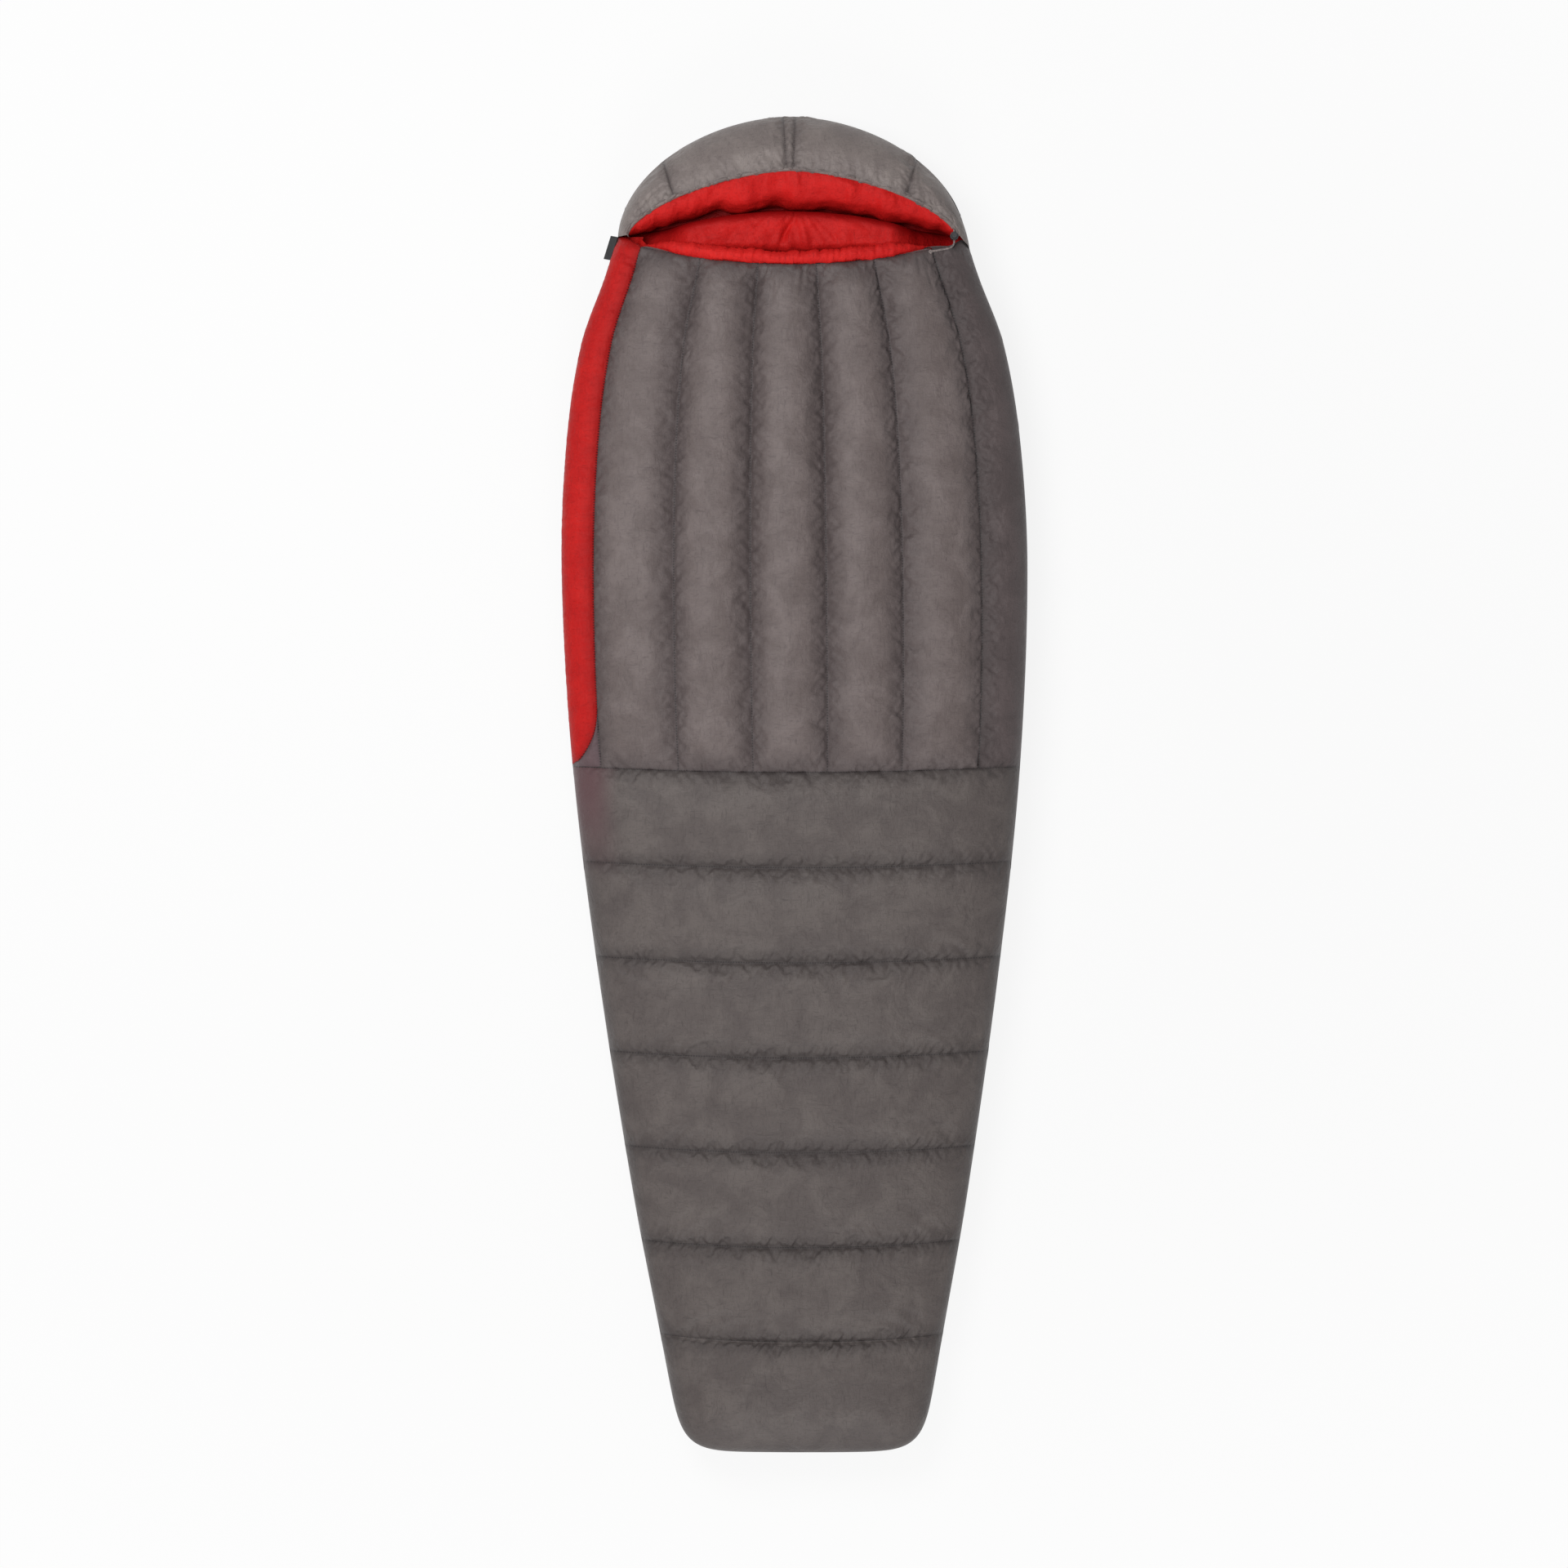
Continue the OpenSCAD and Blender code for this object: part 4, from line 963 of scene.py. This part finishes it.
# The lip stays close to the rim seam, which spaces its folds and also puts painted shade on the lip along the
# rim
lip_away = np.broadcast_to(np.maximum(2.0, LIP_WIDTH - LIP_IN)[:, None], lip.shape[:2])
gathers = [
    (with_turn(to_seam, len(LIP_IN), OFF_SEAM), with_turn(rises * 120, len(LIP_IN)),
     dict(most=2.0, lean=0.5, reach=18.0)),
    (np.concatenate([to_rim + LIP_WIDTH, lip_away]), run_along(rim_edge(crown_a)),
     dict(most=3.4, lean=0.35, reach=30.0, pitch=8.0)),
]
pins = with_turn((np.minimum(to_seam, to_rim) < 0.6) & (rises > 0.05), len(LIP_IN), False)
pins[0] = pins[-1] = True
hood = Quilt("hood_crown", grid, gathers, pins, LIT_HOOD_GREY, 11, pressure=2.0, cap=9.0, flip=True)

# The quilts in place of their solids
settle()
chest_nodes = [f"chest_tube_{n}_{part}" for n in range(1, TUBES + 1) for part in ("upper", "lower")]
leg_nodes = [f"leg_row_{n}" for n in range(1, LEG_ROWS + 1)] + ["foot_row"]
hood_nodes = [f"hood_crown_{part}" for part in ("left_end", "left", "strip", "right", "right_end")]
chest_cloth = stand_for(chest.build(), "shell_nylon", *chest_nodes)
right_cloth = stand_for(right.build(), "shell_nylon", "right_side_panel")
panel_cloth = stand_for(panel.build(), "panel_nylon", "zip_side_panel")
gusset_cloth = stand_for(gusset.build(), "shell_nylon", "zip_end_gusset")
leg_cloth = stand_for(legs.build(), "shell_nylon", *leg_nodes)
back_cloth = stand_for(back.build(), "shell_nylon", "back_torso_rows", "back_leg_rows")
pad_cloth = stand_for(pads.build(), "shell_nylon", "head_pad_lower", "head_pad_upper")
hood_cloth = stand_for(hood.build(), "shell_nylon", *hood_nodes)


# Linings
def lining(name, grid, *nodes, material=LINING, **values):
    obj = dressed(name, grid, material, "lining_nylon", *nodes, **values)
    smooth = obj.modifiers.new("smooth", "SUBSURF")
    smooth.levels = smooth.render_levels = 1
    return obj


inner = TOP_PAD + LINING_GAP
lining_u = even_across(over, 300.0, 150, inner)
top = np.where(lining_u < PANEL_U, panel_top(lining_u), neck_at(lining_u)) - 1
lining_y = mix(HIP_Y, top, np.linspace(0, 1, 150)[:, None])
tube_at = (lining_u - PANEL_U) / TUBE_SHARE
nearest = np.clip(np.round(tube_at), 0, TUBES)
near = np.abs(tube_at - nearest) * TUBE_SHARE * half_at(lining_y)
along = lining_y + SEAM_SHIFT * nearest
drop = 6.0 * bulge(near, 40) + gather(near, along, 24, most=3.0, lean=0.6, reach=26.0, pitch=16.0)
shape = over(plan(lining_u, lining_y), inner)
loose = ease((top - lining_y) / 40)
shape[..., 2] -= loose * (drop * ease((1 - np.abs(lining_u)) / 0.1) + 1.5 * grain(shape, 40.0, 21))
chest_lining = lining("chest_lining_cloth", shape, "chest_lining_upper", "chest_lining_lower",
                      seam=near, along=along, flip=True)

y_line = np.linspace(FOOT_Y, HIP_Y, 90)[:, None]
shape = over(plan(lining_u, y_line), inner + 3.0 * pillow((HIP_Y - y_line) / LEG_PITCH % 1.0))
shape[..., 2] += 1.5 * grain(shape, 40.0, 22)
leg_lining = lining("leg_lining_cloth", shape, "leg_lining", flip=True)

foot_plan = end_plan(lining_u, foot_shares, FOOT_Y, *FOOT_END)
back_half = under(foot_plan, back_depth(foot_plan, BACK_PAD) + LINING_GAP)
shape = np.concatenate([over(foot_plan, inner), back_half[::-1]])
foot_lining = lining("foot_lining_cloth", shape, "foot_lining")

lining_plan = plan(lining_u, np.linspace(FOOT_Y, NAPE_Y, 240)[:, None])
to_seams = np.abs(lining_plan[..., 1, None] - seams)
near = to_seams.min(axis=-1)
along = lining_plan[..., 0] + SEAM_SHIFT * to_seams.argmin(axis=-1)
shape = under(lining_plan, back_depth(lining_plan, BACK_PAD) + LINING_GAP)
swell = 6.0 * bulge(near, 44) + gather(near, along, 25, most=2.6, lean=0.5, reach=26.0, pitch=16.0)
shape[..., 2] += swell * ease((1 - spread(lining_plan)) / 0.1) + 1.2 * grain(shape, 45.0, 23)
back_lining = lining("back_lining_cloth", shape, "back_lining", seam=near, along=along)


# Red inside of the hood: a lobe that puffs out below the rim, and the pad's lining in front of it
CREASE_X = -8.0
CREASE_HALF = 262.0
CREASE_BOW = 46.0
RIM_INSET = 4.5
NOSE_WIDTH_SHARE = 0.985
NOSE_Z = 62.0
NOSE_END_RISE = 24.0
LOBE_ROUND = 0.85
LOBE_TOP_DROP = 11.0
LOBE_UNDER = 16.0


def crease_y(x):
    return CREASE_Y + 1 - CREASE_BOW * ((x - CREASE_X) / CREASE_HALF) ** 2


lobe_a = even(rim_edge, 150, radians(4), radians(176))
rim_in = rim_edge(lobe_a) - crown_out(lobe_a) * RIM_INSET
nose_x = rim_in[:, 0] * NOSE_WIDTH_SHARE
nose = stacked(nose_x, crease_y(nose_x) + 3)
nose_z = NOSE_Z + NOSE_END_RISE * (1 - np.sin(lobe_a))
theta = np.radians(np.linspace(90, -70, 30))[:, None]
lobe_plan = mix(rim_in, nose, (np.abs(np.cos(theta)) ** LOBE_ROUND)[..., None])
rise_share = signed_power(np.sin(theta), LOBE_ROUND)
above_nose = mix(nose_z, rim_z(lobe_a) - LOBE_TOP_DROP, rise_share)
lobe = raised(lobe_plan, np.where(theta > 0, above_nose, nose_z + LOBE_UNDER * rise_share))
lobe_run = run_along(rim_in)
from_rim = np.linalg.norm(lobe - lobe[:1], axis=-1)
swell = 8.0 * grain(stacked(lobe_run, 0.4 * from_rim, 0.0), 46.0, 33)
swell += 1.6 * grain(lobe, 15.0, 34, 3)
swell += gather(from_rim, lobe_run, 35, most=3.6, lean=0.3, reach=24.0, pitch=9.0)
swell *= ease(from_rim / 12) * ease(np.minimum(lobe_run, lobe_run[-1] - lobe_run) / 40)
lobe -= normals(lobe) * swell[..., None]
inside = [crown(lobe_a, share, CROWN_PAD + LINING_GAP)[None] for share in (0.45, 0.2, 0.0)]
# Painted shade on the lobe towards the crease under it, passed as a distance from a seam
crease_shade_distance = with_turn(np.broadcast_to(2.5 + 50 * np.maximum(0, np.sin(theta)), lobe.shape[:2]), len(inside))
crown_lining = lining("crown_lining_cloth", np.concatenate([lobe] + inside), "hood_crown_lining",
                      material=SHADED_HOOD_LINING, seam=crease_shade_distance, flip=True)

LOBE_TOP = 125.0
LOBE_FOOT = 46.0
FRONT_FOOT = 24.0
FRONT_ROUND = 30.0
SHOULDER_START = -12.0
SHOULDER_WIDTH = 26.0
FAN_X = 2.0
head_plan = end_plan(np.linspace(-1, 1, 170), np.linspace(0, 1, 80), NECK_Y + 6, *HOOD_END)
x, y = head_plan[..., 0], head_plan[..., 1]
to_front = crease_y(x) - y
to_edge = 1 - spread(head_plan)
reach_out = ease((0.16 - to_edge) / 0.16) * ease((y - NAPE_Y) / 14)
shape = under(head_plan, mix(back_depth(head_plan, HEAD_PAD) + LINING_GAP, 3.0, reach_out))
shoulder = (1 - (1 - np.clip((to_front - SHOULDER_START) / SHOULDER_WIDTH, 0, 1)) ** 3) ** (1 / 3)
rise = np.maximum(mix(LOBE_FOOT, LOBE_TOP, shoulder) - shape[..., 2], 0)
crease_away = np.abs(x - FAN_X + 0.5 * to_front)
fan = np.arctan2(x - FAN_X, to_front + 34)
swell = 7.0 * grain(shape * [1, 0.6, 0], 46.0, 32) + 1.6 * grain(shape * [1, 1, 0], 13.0, 31, 3)
swell += 5.0 * grain(stacked(60 * fan, 0.1 * to_front, 0.0), 11.0, 37) * np.exp(-np.abs(x) / 120)
swell -= 13 * np.exp(-crease_away / 7) * np.exp(-((to_front - 32) / 26) ** 2)
swell += gather(np.abs(to_front - 70), x, 36, most=4.0, lean=0.5, reach=26.0, pitch=11.0)
shape[..., 2] += (rise + swell * shoulder) * ease(to_edge / 0.34)
front = 1 - np.sqrt(1 - (1 - np.clip((y - y[:1]) / FRONT_ROUND, 0, 1)) ** 2)
front = 1 - front * ease(to_edge / 0.3)
shape[..., 2] = mix(np.minimum(FRONT_FOOT, shape[..., 2]), shape[..., 2], front)
# Painted shade on the pad's lining towards the crease, passed as a distance from a seam
head_lining = lining("head_lining_cloth", shape, "head_lining", material=SHADED_HOOD_LINING,
                     seam=np.maximum(2.5, 0.9 * (to_front + 8)))

# Draught tubes
NECK_RUN = 300.0
NECK_TUBE_OUT = 9.5
NECK_TUBE_RADIUS = 11.0
ZIP_TUBE_RADIUS = 9.0
u_line = np.linspace(PANEL_U + 0.01, SIDE_U - 0.01, 240)
neck_run = u_line * NECK_RUN
to_end = np.minimum(u_line - u_line[0], u_line[-1] - u_line) * NECK_RUN
sunk = 1 - ease(to_end / 60)
ruffle = grain(stacked(neck_run, 0.0, 0.0), 13.0, 41, 3)
slow = grain(stacked(neck_run, 0.0, 500.0), 40.0, 44, 1)
neck = over(plan(u_line, neck_at(u_line)), TOP_DRAW + 8)
neck[:, 1] += NECK_TUBE_OUT + 1.6 * ruffle + 1.5 * slow - 5 * sunk
neck[:, 2] += 1.2 * slow - 16 * sunk
shape = tube(neck, (NECK_TUBE_RADIUS + 1.8 * ruffle) * np.maximum(0.2, bulge(to_end, 70)), 20)
streak = grain(stacked(neck_run[:, None], 0.7 * np.linspace(0, 40, 21), 0.0), 9.0, 42, 3)
shape += (shape - neck[:, None]) * (0.14 * streak)[..., None]
neck_cloth = dressed("neck_draught_cloth", shape, LINING, "lining_nylon", "neck_draught_tube")
y_line = np.linspace(ZIP_END_Y + 130, SLIDER_Y, 90)
thick = ZIP_TUBE_RADIUS * np.minimum(1, 0.2 + bulge(np.minimum(y_line - y_line[0], y_line[-1] - y_line), 40))
shape = tube(stacked(plan(-1.0, y_line)[:, 0] + TOP_PAD + 7 + thick, y_line, CHEST_MID + 10.5), thick, 16)
shape += 0.8 * grain(shape, 18.0, 43)[..., None]
zip_cloth = dressed("zip_draught_cloth", shape, LINING, "lining_nylon", "zip_draught_tube")


# Baffle walls in the seams
def walls(name, routes, nodes, surface, low, high):
    """Thin mesh walls that hang in the seams, one strip for each route of plan points."""
    levels = np.linspace(low, high, 4)
    strips = [np.stack([surface(route, level) for level in levels]) for route in routes]
    parts = [grid_object(name, strip, MESH) for strip in strips]
    with bpy.context.temp_override(active_object=parts[0], selected_editable_objects=parts):
        bpy.ops.object.join()
    return stand_for(parts[0], "baffle_mesh", *nodes)


y_run = np.linspace(0.02, 0.98, 40)
u_run = np.linspace(-0.93, 0.93, 40)
chest_walls = walls(
    "chest_baffle_walls",
    [plan(u, mix(HIP_Y, neck_at(u), y_run)) for u in PANEL_U + TUBE_SHARE * np.arange(TUBES + 1)],
    ["chest_baffles_upper", "chest_baffles_lower"], over, CHEST_DRAW + 2.5, TOP_PAD - 0.5)
leg_walls = walls(
    "leg_baffle_walls", [plan(u_run, HIP_Y - n * LEG_PITCH) for n in range(LEG_ROWS + 1)],
    ["leg_baffles"], over, LEG_DRAW + 4, TOP_PAD)
back_walls = walls(
    "back_baffle_walls", [plan(u_run, y) for y in seams],
    ["back_baffles"], under, BACK_DRAW + 2, BACK_PAD - 1)

# Hem and the drawcord in it
CORD_RADIUS = 1.5
CORD_DROP = 9.0
HEM_RADIUS = 4.4
HEM_INSET = 1.6
LOCK_INSET = 8.2
hem_a = np.radians(np.linspace(4, 168, 240))
hem = raised(rim_edge(hem_a) - crown_out(hem_a) * HEM_INSET, rim_z(hem_a) - CORD_DROP)
shape = tube(hem, HEM_RADIUS + 0.4 * grain(hem, 7.0, 51), 14)
hem_cloth = dressed("hood_hem_cloth", shape, LIT_HOOD_GREY, "shell_nylon", "hood_hem")
lock_a = radians(175)
lock = np.append(rim_edge(lock_a) - crown_out(lock_a) * LOCK_INSET, rim_z(lock_a) - CORD_DROP)
shape = tube(np.concatenate([hem, [lock + [0, 7.5, 0], lock, lock + [0, -7, 0]]]), CORD_RADIUS, 8)
inner_cord = dressed("hood_drawcord_cord", shape, CORD, "drawcord", "hood_drawcord")


# The drawcord's tail, lying along the neck's edge
def cloth_tree(objects):
    """The faces of some pieces, to find the heights of their cloth."""
    points, faces = [], []
    for obj in objects:
        faces += [[len(points) + n for n in face.vertices] for face in obj.data.polygons]
        points += [point.co for point in obj.data.vertices]
    return BVHTree.FromPolygons(points, faces)


neck_tree = cloth_tree([chest_cloth, right_cloth, neck_cloth])


def on_neck_edge(x, lift):
    """A point a lift above the cloth at the neck's edge."""
    y = float(neck_at((x - middle(NECK_Y)) / half_at(NECK_Y + NECK_RISE))) - 1
    hit = neck_tree.ray_cast(Vector((x * MM, y * MM, 1.0)), Vector((0, 0, -1)))[0]
    return np.array([x, y, hit.z / MM + lift])


def smooth_route(points, count, rounds=4):
    """Evenly spaced points on the curve left by cutting a route's corners."""
    for _ in range(rounds):
        cut = np.stack([mix(points[:-1], points[1:], share) for share in (0.25, 0.75)], axis=1)
        points = np.concatenate([points[:1], cut.reshape(-1, 3), points[-1:]])
    run = run_along(points)
    at = np.linspace(0, run[-1], count)
    return stacked(*(np.interp(at, run, points[:, n]) for n in range(3)))


TAIL_STEPS = 38
TAIL_RUNS = (5, 14, 23, 32, 41)
TAIL_LIFT = 1.9
KNOT_AT = 0.94
KNOT_HALF = 0.035
KNOT_SWELL = 1.7
TIP_RADIUS = 0.3
tail_exit = lock + [0, -7.1, 0]
lying = [on_neck_edge(lock[0] - run, TAIL_LIFT) for run in TAIL_RUNS]
tail_route = smooth_route(np.array([tail_exit, tail_exit + [0, -5, 0]] + lying), TAIL_STEPS)
knot = CORD_RADIUS + KNOT_SWELL * np.exp(-((np.linspace(0, 1, TAIL_STEPS) - KNOT_AT) / KNOT_HALF) ** 2)
knot[-1] = TIP_RADIUS
tail = dressed("drawcord_tail_cord", tube(tail_route, knot, 10), CORD, "drawcord", "drawcord_tail")

# Zip tapes and coils along the zip's circle
zip_joint = next(j for j in frame["joints"] if j["name"] == "zip_travel")
ZIP_CENTRE = np.array(zip_joint["pos_m"])[:2] / MM
ZIP_RADIUS = float(np.linalg.norm(plan(-1.0, ZIP_FOOT_Y) + [12, 0] - ZIP_CENTRE))
COIL_PITCH = 1.9
COIL_RADIUS = 1.15
COIL_WIRE = 0.38


def zip_points(y, out, up):
    """Points beside the zip's circle: an outward reach and a height over its plane."""
    angle = pi - np.arcsin((y - ZIP_CENTRE[1]) / ZIP_RADIUS)
    r = ZIP_RADIUS + out
    return stacked(ZIP_CENTRE[0] + r * np.cos(angle), ZIP_CENTRE[1] + r * np.sin(angle), CHEST_MID + up)


for part, way, head in (("upper", 1, SLIDER_Y + 4), ("lower", -1, ZIP_HEAD_Y - 6)):
    y_line = np.linspace(ZIP_FOOT_Y, head, 160)[:, None]
    strip = zip_points(y_line, -0.9, way * np.linspace(0.6, 7.7, 5))
    tape = dressed(f"zip_tape_{part}_cloth", strip, TAPE, "zip_tape", f"zip_tape_{part}", flip=way < 0)
    turns = np.arange(0, (head - ZIP_FOOT_Y) / COIL_PITCH, 0.125)
    wind = 2 * pi * turns
    route = zip_points(ZIP_FOOT_Y + turns * COIL_PITCH, 1.5 + COIL_RADIUS * np.cos(wind),
                       way * (1.8 + COIL_RADIUS * np.sin(wind)))
    shape = tube(route, COIL_WIRE, 5)
    coil = dressed(f"zip_coil_{part}_wire", shape, COIL, "zip_coil", f"zip_coil_{part}")
    for piece in (tape, coil):
        if part == "upper":
            fold_over(piece)
        else:
            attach(piece, "bag")

# Spring in the cord lock, which shortens as the plunger is pressed
SPRING_TURNS = 2
SPRING_RADIUS = 3.0
SPRING_WIRE = 0.35
SPRING_LOW = -7.55
SPRING_HIGH = -3.85
wind = np.linspace(0, 2 * pi * SPRING_TURNS, 24 * SPRING_TURNS + 1)
height = np.linspace(SPRING_LOW, SPRING_HIGH, len(wind))
route = lock + stacked(SPRING_RADIUS * np.cos(wind), SPRING_RADIUS * np.sin(wind), height)
shape = tube(route, SPRING_WIRE, 8)
spring = dressed("cord_lock_spring_wire", shape, STEEL, "spring_steel", "cord_lock_spring")
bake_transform(spring)

# Hard pieces keep their solids, with rounded edges
for node, material, width in (
    ("zip_slider", METAL, 0.0005), ("zip_pull", METAL, 0.0006), ("zip_bottom_stop", METAL, 0.0006),
    ("zip_guard_tab", TAB, 0.0005), ("cord_lock_body", LOCK, 0.0008), ("cord_lock_plunger", LOCK, 0.0006),
):
    solid = frame["nodes"][node]
    solid.data.materials.clear()
    solid.data.materials.append(material)
    rounding = solid.modifiers.new("rounding", "BEVEL")
    rounding.width = width
    rounding.segments = 3
    rounding.limit_method = "ANGLE"

# Bodies: the pieces meant for the flap are only baked in place, the others are attached to the bag
for piece in (chest_cloth, panel_cloth, gusset_cloth, chest_lining, neck_cloth, zip_cloth, chest_walls, tail):
    fold_over(piece)
for piece in (right_cloth, leg_cloth, back_cloth, pad_cloth, hood_cloth, leg_lining, foot_lining, back_lining,
              head_lining, crown_lining, leg_walls, back_walls, hem_cloth, inner_cord):
    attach(piece, "bag")

# Camera straight above, framed as the photograph is
FRAME_WIDTH = 2.4586
FRAME_X = -0.01685
SEEN_HEIGHT = 0.09
CAMERA_HEIGHT = 9.0
SENSOR = 36.0
camera_data = bpy.data.cameras.new("camera")
camera = bpy.data.objects.new("camera", camera_data)
scene.collection.objects.link(camera)
scene.camera = camera
camera.location = (FRAME_X, 0.0, CAMERA_HEIGHT)
camera_data.sensor_width = SENSOR
camera_data.lens = SENSOR * (CAMERA_HEIGHT - SEEN_HEIGHT) / FRAME_WIDTH
camera_data.clip_end = 100


# Soft light from above and from beyond the foot
def area_light(name, place, size, watts):
    data = bpy.data.lights.new(name, "AREA")
    data.shape = "DISK"
    data.size = size
    data.energy = watts
    lamp = bpy.data.objects.new(name, data)
    lamp.location = place
    lamp.rotation_euler = (-Vector(place)).to_track_quat("-Z", "Y").to_euler()
    scene.collection.objects.link(lamp)


area_light("key", (-0.8, 0.95, 2.45), 1.4, 39)
area_light("foot_side", (0.0, -4.0, 3.0), 2.0, 86)


# White floor and surroundings
def white_when_seen(graph, lit, white, output, share=1.0):
    """Shows a share of white to the camera and in reflections, and the lit look to all other light."""
    rays = graph.node("ShaderNodeLightPath").outputs
    seen = graph.math("MAXIMUM", rays["Is Camera Ray"], rays["Is Glossy Ray"])
    seen = graph.math("MULTIPLY", graph.math("MAXIMUM", seen, rays["Is Transmission Ray"]), share)
    both = graph.node("ShaderNodeMixShader", {"Fac": seen, 1: lit.outputs[0], 2: white.outputs[0]})
    graph.feed(graph.tree.nodes[output].inputs["Surface"], both.outputs[0])


WHITE = (1, 1, 1, 1)
FLOOR_HALF = 8.0
FLOOR_Z = -0.0006
FLOOR_SEEN = 0.86
FLOOR_FADE = (0.7, 2.6)
corners = [(x * FLOOR_HALF, y * FLOOR_HALF, 0) for x, y in ((-1, -1), (1, -1), (1, 1), (-1, 1))]
floor_mesh = bpy.data.meshes.new("floor")
floor_mesh.from_pydata(corners, [], [(0, 1, 2, 3)])
floor = bpy.data.objects.new("floor", floor_mesh)
floor.location.z = FLOOR_Z
scene.collection.objects.link(floor)
graph = Graph(bpy.data.materials.new("floor"))
lit = graph.tree.nodes["Principled BSDF"]
lit.inputs["Base Color"].default_value = (0.9, 0.9, 0.9, 1)
lit.inputs["Roughness"].default_value = 0.9
place = graph.node("ShaderNodeNewGeometry").outputs["Position"]
away = graph.node("ShaderNodeVectorMath", {0: place}, operation="LENGTH").outputs["Value"]
white_when_seen(graph, lit, graph.node("ShaderNodeEmission"), "Material Output",
                graph.ramp(away, *FLOOR_FADE, FLOOR_SEEN, 1.0, kind="LINEAR"))
floor_mesh.materials.append(graph.owner)

scene.world = bpy.data.worlds.new("world")
graph = Graph(scene.world)
sky = graph.tree.nodes["Background"]
sky.inputs["Color"].default_value = WHITE
sky.inputs["Strength"].default_value = 0.25
bright = graph.node("ShaderNodeBackground", {"Color": WHITE, "Strength": 1.0})
white_when_seen(graph, sky, bright, "World Output")

scene.view_settings.view_transform = "Standard"
